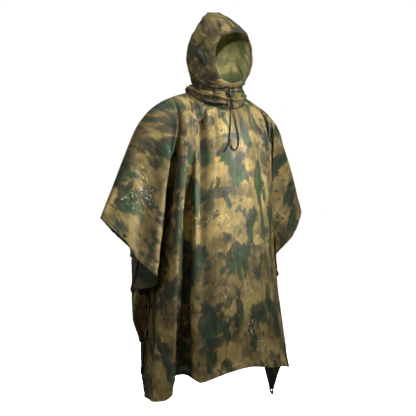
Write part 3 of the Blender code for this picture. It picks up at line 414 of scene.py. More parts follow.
def camouflage(sh, uv, seed, lift=1.0, soft=1.0):
    """A generic camouflage of soft upright blotches, with clusters of cream flecks and fine dark specks."""
    at = lambda x, y, sx, sy, turn=0.0: sh.place(uv, (x + seed * 3.71, y + seed * 1.93, 0), (sx, sy, 1), turn)
    part = lambda fac, k: sh.math("MULTIPLY", fac, k)
    wander = sh.math("SUBTRACT", sh.noise(at(5.3, 1.1, 1.2, 0.8), 34.0, 4, 0.62), 0.5)
    # ground: khaki that drifts between tan and olive, mottled all over
    drift = sh.noise(at(0.0, 0.0, 1.15, 0.75), 7.5, 3, 0.55)
    ground = sh.mix(sh.step(drift, 0.36, 0.64), TAN, KHAKI)
    shade = sh.math("ADD", sh.noise(at(2.7, 4.2, 1.05, 0.80, 0.3), 10.0, 3, 0.55), part(wander, 0.20))
    ground = sh.mix(part(sh.step(shade, 0.42, 0.70), 0.88), ground, OLIVE)
    smear = sh.math("ADD", sh.noise(at(7.1, 3.3, 0.70, 1.50, 0.12), 9.0, 3, 0.55), part(wander, 0.15))
    ground = sh.mix(part(sh.step(smear, 0.48, 0.70), 0.62), ground, BROWN)
    mottle = sh.noise(at(1.9, 8.8, 1.5, 0.75), 42.0, 4, 0.6)
    ground = sh.mix(part(sh.step(mottle, 0.50, 0.76), 0.30), ground, TAN)
    ground = sh.mix(part(sh.step(mottle, 0.48, 0.30), 0.30), ground, OLIVE)
    # blotches: green beside slate, with a soft ragged edge
    shape = dict(scale=11.5, detail=2, rough=0.45, distortion=0.25)
    field = sh.math("ADD", sh.noise(at(3.1, 6.4, 1.25, 0.72, -0.22), **shape), part(wander, 0.16))
    beside = sh.math("ADD", sh.noise(at(3.1 + 0.016, 6.4 + 0.014, 1.25, 0.72, -0.22), **shape), part(wander, 0.22))
    edge = 0.042 * soft
    tone = sh.noise(at(9.3, 0.7, 2.2, 0.9), 20.0, 3, 0.6)
    colour = sh.mix(part(sh.step(beside, 0.575 - edge, 0.575 + edge), 0.86), ground, sh.mix(sh.step(tone, 0.4, 0.62), SLATE, CHARCOAL))
    colour = sh.mix(part(sh.step(field, 0.600 - edge, 0.600 + edge), 0.92), colour, sh.mix(sh.step(tone, 0.38, 0.60), GREEN, DARK_GREEN))
    band = sh.math("ADD", sh.noise(at(4.4, 9.5, 0.72, 1.45, 0.25), 9.0, 2, 0.5, 0.3), part(wander, 0.16))
    colour = sh.mix(part(sh.step(band, 0.615 - edge, 0.615 + 1.4 * edge), 0.80), colour, SLATE)
    small = sh.math("ADD", sh.noise(at(1.4, 3.5, 1.2, 0.8, 0.5), 21.0, 2, 0.5, 0.3), part(wander, 0.18))
    colour = sh.mix(part(sh.step(small, 0.640 - edge, 0.640 + edge), 0.75), colour, DARK_GREEN)
    # flecks and specks
    cluster = sh.step(sh.noise(at(6.6, 2.5, 1.0, 0.9), 8.5, 2, 0.5), 0.61, 0.70)
    fleck = sh.step(sh.noise(at(0.4, 5.5, 1.0, 0.75, 0.5), 105.0, 4, 0.7, 0.3), 0.54, 0.66)
    colour = sh.mix(part(sh.math("MULTIPLY", cluster, fleck), 0.72), colour, CREAM)
    specks = sh.step(sh.noise(at(8.2, 7.7, 1.0, 0.8), 150.0, 2, 0.5), 0.66, 0.73)
    where = sh.step(sh.noise(at(2.2, 2.9, 1, 1), 9.0, 2, 0.5), 0.46, 0.60)
    colour = sh.mix(part(sh.math("MULTIPLY", specks, where), 0.75), colour, CHARCOAL)
    # lift scales the whole print of a piece: below 1 it paints shade on the piece, above 1 it paints light on it
    if lift != 1.0:
        colour = sh.mix(1.0, colour, (lift, lift, lift), "MULTIPLY")
    return colour


def cloth_bump(sh, uv, crinkle=1.0):
    """Ripstop threads every 5 mm, the plain weave between them and the fine crinkle of coated cloth."""
    sep = sh.node("ShaderNodeSeparateXYZ", {"Vector": uv})
    threads = None
    for k in (0, 1):
        x = sh.math("PINGPONG", sep.outputs[k], 0.0026)
        line = sh.step(x, 0.00005, 0.00042, 1.0, 0.0)
        threads = line if threads is None else sh.math("MAXIMUM", threads, line)
    weave = sh.noise(uv, 1400.0, 1, 0.5)
    n = sh.bump(sh.math("ADD", threads, sh.math("MULTIPLY", weave, 0.5)), 0.30, 0.00012)
    crumple = sh.noise(sh.place(uv, (1.3, 2.1, 0), (1.25, 0.8, 1)), 26.0, 4, 0.55, 0.4)
    folded = sh.math("ABSOLUTE", sh.math("SUBTRACT", crumple, 0.5))
    n = sh.bump(folded, 0.52 * crinkle, 0.0060, n)
    return n, threads


def cloth_material(name, seed, seams=(), inside=False, dark=1.0, crinkle=1.0, soft=1.0, inside_tint_and_painted_light=(0.100, 0.098, 0.050)):
    """Printed, coated ripstop. The second UV map holds the distance from the sewn edge and the run along it."""
    sh = Shader(name)
    uv = sh.node("ShaderNodeUVMap", uv_map="flat").outputs["UV"]
    edge = sh.node("ShaderNodeSeparateXYZ", {"Vector": sh.node("ShaderNodeUVMap", uv_map="edge").outputs["UV"]})
    # dark is passed on as lift: a scale on the whole print, painted shade below 1 and painted light above 1
    colour = camouflage(sh, uv, seed, dark, soft)
    n, threads = cloth_bump(sh, uv, crinkle)
    colour = sh.mix(sh.math("MULTIPLY", threads, 0.10), colour, (0.30, 0.25, 0.13))
    # the inner face: the print blended 40% towards a tint; the near-black tint of the panels paints shade inside them,
    # the pale tint of the hood paints light inside it, the default tint is the coat's own colour
    if inside:
        hsv = sh.node("ShaderNodeHueSaturation", {"Saturation": 0.95, "Value": 1.0, "Color": colour})
        colour = sh.mix(0.40, hsv.outputs[0], inside_tint_and_painted_light)
    dust = sh.noise(uv, 420.0, 2, 0.6)
    colour = sh.mix(sh.step(dust, 0.45, 0.85, 0.0, 0.07), colour, (0.34, 0.28, 0.14))
    stitches = None
    for at in seams:
        gap = sh.math("ABSOLUTE", sh.math("SUBTRACT", edge.outputs[0], at))
        row = sh.step(gap, 0.00030, 0.00075, 1.0, 0.0)
        dash = sh.math("PINGPONG", edge.outputs[1], 0.0017)
        row = sh.math("MULTIPLY", row, sh.step(dash, 0.00025, 0.00055))
        # painted shade: a darker band within about 2 mm of each stitch line, for the shade in the puckered groove of
        # the seam
        pucker = sh.step(gap, 0.0004, 0.0022, 1.0, 0.0)
        stitches = row if stitches is None else sh.math("MAXIMUM", stitches, row)
        colour = sh.mix(sh.math("MULTIPLY", pucker, 0.22), colour, (0.03, 0.028, 0.018))
    if stitches is not None:
        colour = sh.mix(sh.math("MULTIPLY", stitches, 0.75), colour, (0.10, 0.095, 0.055))
        n = sh.bump(stitches, 0.5, 0.0004, n)
    worn = sh.step(edge.outputs[0], 0.0002, 0.0016, 0.28, 0.0)
    colour = sh.mix(worn, colour, (0.36, 0.30, 0.17))
    rough = sh.math("ADD", sh.math("MULTIPLY", sh.noise(uv, 22.0, 3, 0.6), 0.14), 0.62 if inside else 0.48)
    sh.b.inputs["Sheen Weight"].default_value = 0.03
    sh.b.inputs["Sheen Roughness"].default_value = 0.45
    sh.b.inputs["Specular IOR Level"].default_value = 0.22 if inside else 0.24
    return sh.finish(Base_Color=colour, Roughness=rough, Normal=n)


def metal_material():
    sh = Shader("aged_brass")
    uv = sh.node("ShaderNodeTexCoord").outputs["Object"]
    worn = sh.noise(uv, 900.0, 4, 0.6, kind="3D")
    edge = sh.step(sh.node("ShaderNodeNewGeometry").outputs["Pointiness"], 0.52, 0.60)
    blend = sh.math("MAXIMUM", sh.math("MULTIPLY", edge, 0.8), sh.step(worn, 0.56, 0.70, 0.0, 0.7))
    colour = sh.mix(blend, (0.030, 0.026, 0.018), (0.42, 0.33, 0.17))
    n = sh.bump(worn, 0.15, 0.0002)
    return sh.finish(Base_Color=colour, Metallic=0.92, Roughness=sh.step(worn, 0.3, 0.7, 0.26, 0.44), Normal=n)


def plastic_material():
    sh = Shader("black_moulded_plastic")
    uv = sh.node("ShaderNodeTexCoord").outputs["Object"]
    grain = sh.noise(uv, 2600.0, 3, 0.6, kind="3D")
    marks = sh.noise(uv, 220.0, 3, 0.6, kind="3D")
    colour = sh.mix(sh.step(marks, 0.5, 0.8, 0.0, 0.5), (0.010, 0.010, 0.011), (0.035, 0.035, 0.037))
    return sh.finish(Base_Color=colour, Roughness=sh.step(marks, 0.3, 0.7, 0.26, 0.42), Normal=sh.bump(grain, 0.12, 0.00015))


def cord_material():
    """A braid: two sets of strands that cross round the cord."""
    sh = Shader("black_braided_cord")
    uv = sh.node("ShaderNodeUVMap", uv_map="flat").outputs["UV"]      # x round the cord in turns, y along it in metres
    sep = sh.node("ShaderNodeSeparateXYZ", {"Vector": uv})
    run = sh.math("MULTIPLY", sep.outputs[1], 1 / 0.0052)
    round8 = sh.math("MULTIPLY", sep.outputs[0], 8.0)
    a = sh.math("PINGPONG", sh.math("ADD", round8, sh.math("MULTIPLY", run, 4.0)), 0.5)
    b = sh.math("PINGPONG", sh.math("SUBTRACT", round8, sh.math("MULTIPLY", run, 4.0)), 0.5)
    over = sh.math("MAXIMUM", a, b)
    fibre = sh.noise(sh.place(uv, (0, 0, 0), (60, 5200, 1)), 1.0, 2, 0.6)
    # painted shade: the raised strands are lighter and the grooves between them darker, following the braid's height
    colour = sh.mix(sh.step(over, 0.20, 0.5), (0.003, 0.003, 0.003), (0.011, 0.011, 0.011))
    colour = sh.mix(sh.math("MULTIPLY", fibre, 0.25), colour, (0.020, 0.019, 0.018))
    n = sh.bump(sh.math("ADD", over, sh.math("MULTIPLY", fibre, 0.2)), 0.7, 0.0004)
    sh.b.inputs["Specular IOR Level"].default_value = 0.20
    return sh.finish(Base_Color=colour, Roughness=0.62, Normal=n)


METAL, PLASTIC, CORD = metal_material(), plastic_material(), cord_material()


# ---------------------------------------------------------------- mesh helpers
def object_of(name, verts, faces, materials, smooth=True):
    me = bpy.data.meshes.new(name)
    me.from_pydata([tuple(map(float, p)) for p in verts], [], faces)
    me.validate()
    for m in materials:
        me.materials.append(m)
    if smooth:
        me.shade_smooth()
    ob = bpy.data.objects.new(name, me)
    scene.collection.objects.link(ob)
    return ob


def uv_map(ob, name, values):
    """A UV map from one (u, v) a vertex."""
    me = ob.data
    layer = me.uv_layers.new(name=name, do_init=False)
    index = np.empty(len(me.loops), dtype=np.int32)
    me.loops.foreach_get("vertex_index", index)
    layer.data.foreach_set("uv", np.ascontiguousarray(np.asarray(values, float)[index], dtype=np.float32).ravel())


def baked(ob):
    """Apply all modifiers."""
    graph = bpy.context.evaluated_depsgraph_get()
    me = bpy.data.meshes.new_from_object(ob.evaluated_get(graph), preserve_all_data_layers=True, depsgraph=graph)
    ob.modifiers.clear()
    ob.data = me
    return ob


def shell(ob, thickness, inner=1, rim=0, rim_crease=0.0):
    """A closed thin wall: the outer face stays where it is."""
    mod = ob.modifiers.new("wall", "SOLIDIFY")
    mod.thickness, mod.offset, mod.use_even_offset = thickness, -1, False
    mod.material_offset, mod.material_offset_rim = inner, rim
    return baked(ob)


def lattice(shape, seed):
    return np.random.default_rng(seed).uniform(-1, 1, shape)


def ripple(x, y, seed, nx=64, ny=64):
    """Smooth noise in two directions, one random value to each unit square, about -0.6 to 0.6."""
    table = lattice((nx, ny), seed)
    x, y = np.asarray(x, float) + 1000.0, np.asarray(y, float) + 1000.0
    ix, iy = np.floor(x).astype(int), np.floor(y).astype(int)
    fx, fy = x - ix, y - iy
    wx = [(1 - fx) ** 3 / 6, (3 * fx**3 - 6 * fx**2 + 4) / 6, (-3 * fx**3 + 3 * fx**2 + 3 * fx + 1) / 6, fx**3 / 6]
    wy = [(1 - fy) ** 3 / 6, (3 * fy**3 - 6 * fy**2 + 4) / 6, (-3 * fy**3 + 3 * fy**2 + 3 * fy + 1) / 6, fy**3 / 6]
    total = 0
    for i in range(4):
        for j in range(4):
            total = total + wx[i] * wy[j] * table[(ix + i) % nx, (iy + j) % ny]
    return total * 1.7


def pinch(x, y, seed, soft=0.12):
    """Creased noise: thin raised lines where the smooth noise crosses zero."""
    n = ripple(x, y, seed)
    return 1 - np.sqrt(n * n + soft * soft) / math.sqrt(0.45 + soft * soft)


def ease(x, low, high):
    w = np.clip((x - low) / (high - low), 0, 1)
    return w * w * (3 - 2 * w)


def rounded_line(points, bend=0.012, step=0.004):
    points = np.array(points, float)
    legs = np.concatenate([[0], np.cumsum(np.linalg.norm(np.diff(points, axis=0), axis=1))])
    run = np.arange(0, legs[-1] + step, step)
    line = np.stack([np.interp(run, legs, points[:, k]) for k in range(2)], 1)
    out = np.empty_like(line)
    for i in range(len(run)):
        w = min(bend, min(run[i], legs[-1] - min(run[i], legs[-1])) / 3 + 1e-5)
        g = np.exp(-0.5 * ((run - run[i]) / w) ** 2)
        out[i] = (line * g[:, None]).sum(0) / g.sum()
    return out


def near_line(u, v, line):
    """Signed distance from a line in the flat cloth (positive on its left as it runs) and the share of its run."""
    shape = u.shape
    u, v = u.ravel(), v.ravel()
    best, sign, share = np.full(u.shape, 1e9), np.ones(u.shape), np.zeros(u.shape)
    total = len(line) - 1
    for k in range(total):
        a, d = line[k], line[k + 1] - line[k]
        q = np.clip(((u - a[0]) * d[0] + (v - a[1]) * d[1]) / max(d @ d, 1e-12), 0, 1)
        ex, ey = u - a[0] - d[0] * q, v - a[1] - d[1] * q
        e = np.hypot(ex, ey)
        m = e < best
        best = np.where(m, e, best)
        sign = np.where(m, np.sign(d[0] * (v - a[1]) - d[1] * (u - a[0])), sign)
        share = np.where(m, (k + q) / total, share)
    return (best * sign).reshape(shape), share.reshape(shape)


def crease_relief(u, v, table):
    """Listed creases: kind, points (u, v), width, height, fade at the start and at the end as shares of the run."""
    total = np.zeros(u.shape)
    for kind, points, width, height, fade_in, fade_out in table:
        line = rounded_line(points)
        lo, hi = line.min(0) - 4 * width, line.max(0) + 4 * width
        m = (u > lo[0]) & (u < hi[0]) & (v > lo[1]) & (v < hi[1])
        if not m.any():
            continue
        d, share = near_line(u[m], v[m], line)
        w = width * (1 + 0.25 * np.sin(9 * share + points[0][0] * 40))
        fade = ease(share, -1e-3, max(fade_in, 1e-3)) * (1 - ease(share, 1 - max(fade_out, 1e-3), 1 + 1e-3))
        x = d / w
        if kind == "roll":
            h = np.exp(-x * x)
        elif kind == "knife":
            h = np.exp(-np.sqrt(x * x + 0.09) + 0.3)
        else:                        # "lap": raised on its left, hollow on its right
            h = x * np.exp(0.5 - 0.5 * x * x)
        total[m] += height * fade * h
    return total


# ---------------------------------------------------------------- cords, first
LOCK_AT, LOCK_SIZE, LOCK_TURN = (-0.0129, -0.1245, 0.0045), (0.020, 0.011, 0.026), math.radians(6)
BORE_R, BORE_X = 0.0028, 0.0047
KNOT_AT = (-0.0400, -0.1560, -0.1790)
EYELET_RUN = {"right": -0.0270, "left": 0.0140}
# x z off
STRANDS = {
    "drawcord_right": [(-0.0155, -0.0363, 0.0095), (-0.0145, -0.0708, 0.0065), (-0.0240, -0.1058, 0.0045),
                       (-0.0342, -0.1366, 0.0042), (-0.0383, -0.1600, 0.0050), (-0.0395, -0.1735, 0.0062)],
    "drawcord_left": [(-0.0072, -0.0284, 0.0100), (0.0010, -0.0548, 0.0080), (0.0003, -0.0899, 0.0050),
                      (-0.0026, -0.1170, 0.0042), (0.0005, -0.1437, 0.0042), (0.0020, -0.1665, 0.0042),
                      (-0.0029, -0.1932, 0.0042), (-0.0123, -0.2112, 0.0042), (-0.0226, -0.2165, 0.0042),
                      (-0.0310, -0.2105, 0.0042), (-0.0345, -0.1960, 0.0048), (-0.0378, -0.1858, 0.0060)],
    "drawcord_tail": [(-0.0432, -0.1846, 0.0060), (-0.0480, -0.1930, 0.0045), (-0.0555, -0.2070, 0.0042),
                      (-0.0619, -0.2184, 0.0042)],
}


def turn_hood(p, z_low=0.055, z_high=0.12):
    p = np.asarray(p, float)
    k = np.clip((p[..., 2] - z_low) / (z_high - z_low), 0, 1) * HOOD_TURN
    c, s = np.cos(k), np.sin(k)
    crown = 0.14 * np.clip((p[..., 2] - 0.20) / 0.134, 0, 1) * np.clip(0.056 - p[..., 1], 0, 0.2)
    return np.stack([p[..., 0] * c - p[..., 1] * s, p[..., 0] * s + p[..., 1] * c, p[..., 2] - crown], -1)


def surface_of(objects):
    verts, faces = [], []
    for ob in objects:
        first = len(verts)
        verts += [ob.matrix_world @ v.co for v in ob.data.vertices]
        faces += [[first + i for i in f.vertices] for f in ob.data.polygons]
    return BVHTree.FromPolygons(verts, faces)


def in_front(tree, x, z, off):
    hit, n, _, _ = tree.ray_cast(Vector((x, -0.6, z)), Vector((0, 1, 0)))
    return np.array([x, hit[1] - off / max(-n[1], 0.5), z])


def smooth_way(points, stiff=0, step=0.0020):
    points = np.array(points, float)
    legs = np.concatenate([[0], np.cumsum(np.linalg.norm(np.diff(points, axis=0), axis=1))])
    run = np.linspace(0, legs[-1], 1200)
    line = np.stack([np.interp(run, legs, points[:, k]) for k in range(3)], 1)
    bend = 0.0022 + 0.0058 * np.clip((run - (legs[stiff - 1] if stiff else -1)) / 0.02, 0, 1)
    bend = np.minimum(bend, np.minimum(run, run[-1] - run) / 3 + 1e-5)
    curve = np.empty_like(line)
    for i, w in enumerate(bend):
        g = np.exp(-0.5 * ((run - run[i]) / w) ** 2)
        curve[i] = (line * g[:, None]).sum(0) / g.sum()
    run = np.concatenate([[0], np.cumsum(np.linalg.norm(np.diff(curve, axis=0), axis=1))])
    at = np.linspace(0, run[-1], max(3, round(run[-1] / step) + 1))
    return np.stack([np.interp(at, run, curve[:, k]) for k in range(3)], 1)


def tube(name, way, radius, material, sides=18, swell=None, closed=False):
    """A cord of round section along a way, with the strands of its braid modelled as low swellings."""
    way = np.asarray(way, float)
    n = len(way)
    tang = np.roll(way, -1, 0) - np.roll(way, 1, 0) if closed else np.gradient(way, axis=0)
    tang /= np.linalg.norm(tang, axis=1)[:, None]
    run = np.concatenate([[0], np.cumsum(np.linalg.norm(np.diff(way, axis=0), axis=1))])
    side = np.cross(tang[0], (0, 0, 1.0)) if abs(tang[0][2]) < 0.9 else np.cross(tang[0], (0, 1.0, 0))
    side /= np.linalg.norm(side)
    verts, uvs = [], []
    for i in range(n):
        side = side - tang[i] * (side @ tang[i])
        side /= np.linalg.norm(side)
        other = np.cross(tang[i], side)
        for k in range(sides + 1):
            a = 2 * math.pi * k / sides
            braid = max(math.cos(4 * a + run[i] / 0.0052 * 8 * math.pi / 2), math.cos(4 * a - run[i] / 0.0052 * 8 * math.pi / 2))
            r = radius * (1 + 0.05 * braid) * (swell(run[i] / max(run[-1], 1e-9)) if swell else 1)
            if k < sides:
                verts.append(way[i] + (side * math.cos(a) + other * math.sin(a)) * r)
    faces, loops = [], []
    rows = n if closed else n - 1
    for i in range(rows):
        j = (i + 1) % n
        for k in range(sides):
            m = (k + 1) % sides
            faces.append((i * sides + k, i * sides + m, j * sides + m, j * sides + k))
            y0, y1 = run[i], run[i + 1] if i + 1 < n else run[-1] + 0.001
            loops += [(k / sides, y0), ((k + 1) / sides, y0), ((k + 1) / sides, y1), (k / sides, y1)]
    if not closed:
        for base, order in ((0, 1), ((n - 1) * sides, -1)):
            ring = [base + k for k in range(sides)]
            faces.append(tuple(ring[::-1]) if order == 1 else tuple(ring))
            loops += [(k / sides, run[0] if order == 1 else run[-1]) for k in range(sides)]
    me = bpy.data.meshes.new(name)
    me.from_pydata([tuple(map(float, p)) for p in verts], [], faces)
    layer = me.uv_layers.new(name="flat")
    for i, uv in enumerate(loops):
        layer.data[i].uv = uv
    me.materials.append(material)
    me.shade_smooth()
    ob = bpy.data.objects.new(name, me)
    scene.collection.objects.link(ob)
    return ob


# ---------------------------------------------------------------- panels
def spaced(low, high, step, marks=()):
    """Even steps from low to high that stop at each mark, with none closer than 40% of a step."""
    stops = [low] + sorted(m for m in marks if low < m < high) + [high]
    out = [low]
    for a, b in zip(stops, stops[1:]):
        n = max(1, round((b - a) / step))
        out += [a + (b - a) * k / n for k in range(1, n + 1)]
    return np.array(out)


HEM_SEW, HOLE_HALF = 0.0180, 0.0068

# Creases of the front, on the flat cloth: kind, points (u, v), width, height, fade in, fade out.
FRONT_CREASES = [
    # the narrow dark crease that starts at the shoulder, and the light edge beside it
    ("knife", [(-0.255, 0.018), (-0.272, 0.024), (-0.320, 0.048), (-0.374, 0.084), (-0.410, 0.137), (-0.400, 0.315), (-0.434, 0.446),
               (-0.480, 0.567), (-0.515, 0.670)], 0.0085, -0.0130, 0.08, 0.10),
    ("knife", [(-0.240, 0.030), (-0.300, 0.056), (-0.356, 0.096), (-0.386, 0.150), (-0.378, 0.315), (-0.410, 0.450), (-0.454, 0.580),
               (-0.488, 0.690)], 0.0080, 0.0050, 0.10, 0.20),
    # the wide dark valley
    ("roll", [(-0.190, 0.110), (-0.226, 0.205), (-0.226, 0.408), (-0.238, 0.641), (-0.268, 0.871), (-0.300, 1.085)], 0.020, -0.0210, 0.16, 0.02),
    # the long edge beside the wide fold, and the strip next to it
    ("knife", [(-0.150, 0.030), (-0.185, 0.053), (-0.240, 0.141), (-0.266, 0.236), (-0.288, 0.386), (-0.309, 0.472),
               (-0.337, 0.613), (-0.374, 0.761), (-0.407, 0.908), (-0.447, 1.090)], 0.010, 0.0095, 0.10, 0.04),
    ("roll", [(-0.452, 0.610), (-0.480, 0.720), (-0.471, 0.846), (-0.505, 0.970), (-0.536, 1.075)], 0.012, 0.0042, 0.25, 0.10),
    ("lap", [(-0.200, 0.330), (-0.214, 0.500), (-0.240, 0.700), (-0.262, 0.900)], 0.022, 0.0040, 0.35, 0.30),
    # two long folds on the wearer's left of the chest
    ("knife", [(0.085, 0.096), (0.104, 0.076), (0.128, 0.084), (0.150, 0.105), (0.167, 0.140), (0.178, 0.190), (0.190, 0.290),
               (0.206, 0.400), (0.226, 0.560)], 0.009, 0.0080, 0.06, 0.45),
    ("knife", [(0.110, 0.062), (0.142, 0.070), (0.170, 0.100), (0.188, 0.140), (0.200, 0.190), (0.212, 0.290), (0.228, 0.400),
               (0.246, 0.540)], 0.0085, -0.0120, 0.06, 0.45),
    ("roll", [(0.118, 0.092), (0.142, 0.122), (0.154, 0.180), (0.166, 0.260), (0.176, 0.360)], 0.016, -0.0040, 0.10, 0.40),
    ("knife", [(0.205, 0.016), (0.241, 0.040), (0.262, 0.080), (0.270, 0.140), (0.268, 0.250), (0.276, 0.380), (0.296, 0.520),
               (0.320, 0.660)], 0.009, 0.0065, 0.08, 0.40),
    ("roll", [(0.228, 0.060), (0.246, 0.130), (0.246, 0.250), (0.256, 0.400)], 0.016, -0.0045, 0.12, 0.35),
    ("knife", [(0.240, 0.014), (0.276, 0.040), (0.294, 0.080), (0.300, 0.140), (0.298, 0.250), (0.306, 0.380), (0.326, 0.520),
               (0.350, 0.640)], 0.0085, -0.0100, 0.08, 0.40),
    # long soft press folds down the front
    ("knife", [(-0.004, 0.560), (-0.016, 0.730), (-0.030, 0.880), (-0.054, 1.090)], 0.0055, 0.0022, 0.20, 0.02),
    ("knife", [(0.056, 0.500), (0.041, 0.625), (0.026, 0.760)], 0.0050, 0.0018, 0.25, 0.30),
    ("knife", [(0.132, 0.930), (0.116, 1.020), (0.104, 1.095)], 0.0050, 0.0018, 0.25, 0.02),
    ("roll", [(0.020, 0.330), (0.012, 0.520), (0.004, 0.700)], 0.018, 0.0022, 0.30, 0.30),
    ("roll", [(-0.082, 0.400), (-0.100, 0.620), (-0.118, 0.860), (-0.124, 1.060)], 0.020, 0.0034, 0.30, 0.08),
    ("roll", [(0.092, 0.420), (0.102, 0.640), (0.090, 0.860), (0.070, 1.080)], 0.022, 0.0040, 0.30, 0.05),
    ("roll", [(-0.030, 0.700), (-0.046, 0.880), (-0.078, 1.085)], 0.018, -0.0034, 0.35, 0.05),
    ("lap", [(0.220, 0.600), (0.214, 0.800), (0.196, 1.080)], 0.020, 0.0045, 0.30, 0.05),
    # gathers that run from the neck seam over both shoulders
    ("knife", [(-0.112, 0.046), (-0.145, 0.050), (-0.205, 0.076), (-0.240, 0.110)], 0.0070, 0.0060, 0.05, 0.55),
    ("knife", [(-0.108, 0.062), (-0.130, 0.088), (-0.165, 0.150), (-0.186, 0.220)], 0.0070, 0.0058, 0.05, 0.55),
    ("roll", [(-0.110, 0.054), (-0.150, 0.068), (-0.190, 0.105)], 0.0080, -0.0062, 0.05, 0.50),
    ("knife", [(-0.120, 0.020), (-0.170, 0.022), (-0.240, 0.040)], 0.0065, 0.0036, 0.05, 0.55),
    ("roll", [(-0.100, 0.085), (-0.118, 0.130), (-0.135, 0.200)], 0.0080, -0.0054, 0.05, 0.55),
    ("knife", [(-0.092, 0.098), (-0.106, 0.140), (-0.116, 0.230)], 0.0060, 0.0034, 0.05, 0.60),
    ("knife", [(-0.066, 0.118), (-0.074, 0.160), (-0.080, 0.230)], 0.0055, 0.0026, 0.05, 0.60),
    ("knife", [(-0.030, 0.133), (-0.034, 0.180), (-0.034, 0.240)], 0.0050, 0.0018, 0.05, 0.60),
    ("knife", [(0.036, 0.131), (0.042, 0.165), (0.046, 0.220)], 0.0055, 0.0022, 0.05, 0.60),
    ("knife", [(0.074, 0.112), (0.092, 0.142), (0.104, 0.200)], 0.0060, 0.0030, 0.05, 0.60),
    ("knife", [(0.118, 0.030), (0.160, 0.030), (0.215, 0.052)], 0.0060, 0.0034, 0.05, 0.55),
    # sleeves: soft folds that fall from the shoulder line to the cuff edge
    ("roll", [(-0.330, 0.010), (-0.420, 0.090), (-0.540, 0.200), (-0.660, 0.300)], 0.020, 0.0046, 0.20, 0.20),
    ("roll", [(-0.300, 0.060), (-0.390, 0.160), (-0.500, 0.290), (-0.600, 0.400)], 0.022, -0.0050, 0.20, 0.20),
    ("roll", [(-0.450, 0.030), (-0.560, 0.110), (-0.700, 0.190)], 0.018, -0.0036, 0.20, 0.15),
    ("roll", [(-0.600, 0.020), (-0.680, 0.060), (-0.740, 0.090)], 0.014, 0.0030, 0.25, 0.15),
    ("roll", [(0.320, 0.015), (0.410, 0.090), (0.530, 0.190), (0.660, 0.280)], 0.020, 0.0050, 0.20, 0.20),
    ("roll", [(0.300, 0.070), (0.380, 0.170), (0.480, 0.300), (0.580, 0.400)], 0.020, -0.0046, 0.20, 0.20),
    ("roll", [(0.480, 0.040), (0.580, 0.110), (0.700, 0.180)], 0.018, -0.0034, 0.20, 0.15),
]
BACK_CREASES = [
    ("knife", [(-0.060, 0.090), (-0.100, 0.220), (-0.130, 0.420), (-0.170, 0.700), (-0.200, 1.130)], 0.010, 0.0060, 0.15, 0.04),
    ("knife", [(0.070, 0.086), (0.112, 0.240), (0.150, 0.460), (0.190, 0.760), (0.222, 1.130)], 0.010, 0.0064, 0.15, 0.04),
    ("roll", [(0.000, 0.120), (0.006, 0.420), (-0.010, 0.760), (0.004, 1.120)], 0.024, 0.0050, 0.20, 0.04),
    ("knife", [(-0.170, 0.020), (-0.240, 0.150), (-0.320, 0.420), (-0.420, 1.120)], 0.010, 0.0066, 0.12, 0.04),
    ("knife", [(0.180, 0.020), (0.250, 0.160), (0.330, 0.440), (0.440, 1.120)], 0.010, 0.0062, 0.12, 0.04),
    ("lap", [(-0.300, 0.300), (-0.380, 0.560), (-0.520, 1.100)], 0.022, 0.0050, 0.25, 0.06),
    ("lap", [(0.300, 0.280), (0.390, 0.560), (0.550, 1.100)], 0.022, 0.0050, 0.25, 0.06),
    ("knife", [(-0.110, 0.030), (-0.150, 0.040), (-0.220, 0.080)], 0.0060, 0.0036, 0.05, 0.55),
    ("knife", [(-0.090, 0.060), (-0.120, 0.100), (-0.150, 0.170)], 0.0060, 0.0032, 0.05, 0.55),
    ("knife", [(-0.040, 0.082), (-0.048, 0.130), (-0.052, 0.200)], 0.0060, 0.0028, 0.05, 0.55),
    ("knife", [(0.044, 0.082), (0.054, 0.130), (0.060, 0.210)], 0.0060, 0.0030, 0.05, 0.55),
    ("knife", [(0.094, 0.056), (0.126, 0.096), (0.150, 0.160)], 0.0060, 0.0032, 0.05, 0.55),
    ("knife", [(0.112, 0.026), (0.156, 0.040), (0.225, 0.070)], 0.0060, 0.0034, 0.05, 0.55),
    ("roll", [(-0.320, 0.010), (-0.420, 0.090), (-0.560, 0.200), (-0.680, 0.280)], 0.020, 0.0046, 0.20, 0.20),
    ("roll", [(-0.460, 0.030), (-0.580, 0.110), (-0.710, 0.170)], 0.018, -0.0036, 0.20, 0.15),
    ("roll", [(0.330, 0.010), (0.430, 0.090), (0.560, 0.190), (0.680, 0.270)], 0.020, 0.0046, 0.20, 0.20),
    ("roll", [(0.310, 0.080), (0.400, 0.190), (0.520, 0.320)], 0.020, -0.0046, 0.20, 0.20),
    ("roll", [(-0.310, 0.080), (-0.390, 0.180), (-0.510, 0.320)], 0.020, -0.0046, 0.20, 0.20),
]


# How much fuller the back's hanging folds are than the part's solid at their lower end: (line's ue, out).
BACK_FULL = [(0.000, 0.004), (0.100, -0.006), (0.205, 0.014), (0.315, -0.010), (0.425, 0.016), (0.535, -0.010), (0.645, 0.014),
             (0.750, 0.000)]


def deepen(s, t):
    rows = np.array(BACK_FULL)
    full = monotone(np.abs(s), rows[:, 0], rows[:, 1]) * (np.abs(s) < 0.75)
    return full * ease(t, 0.06, 0.70)


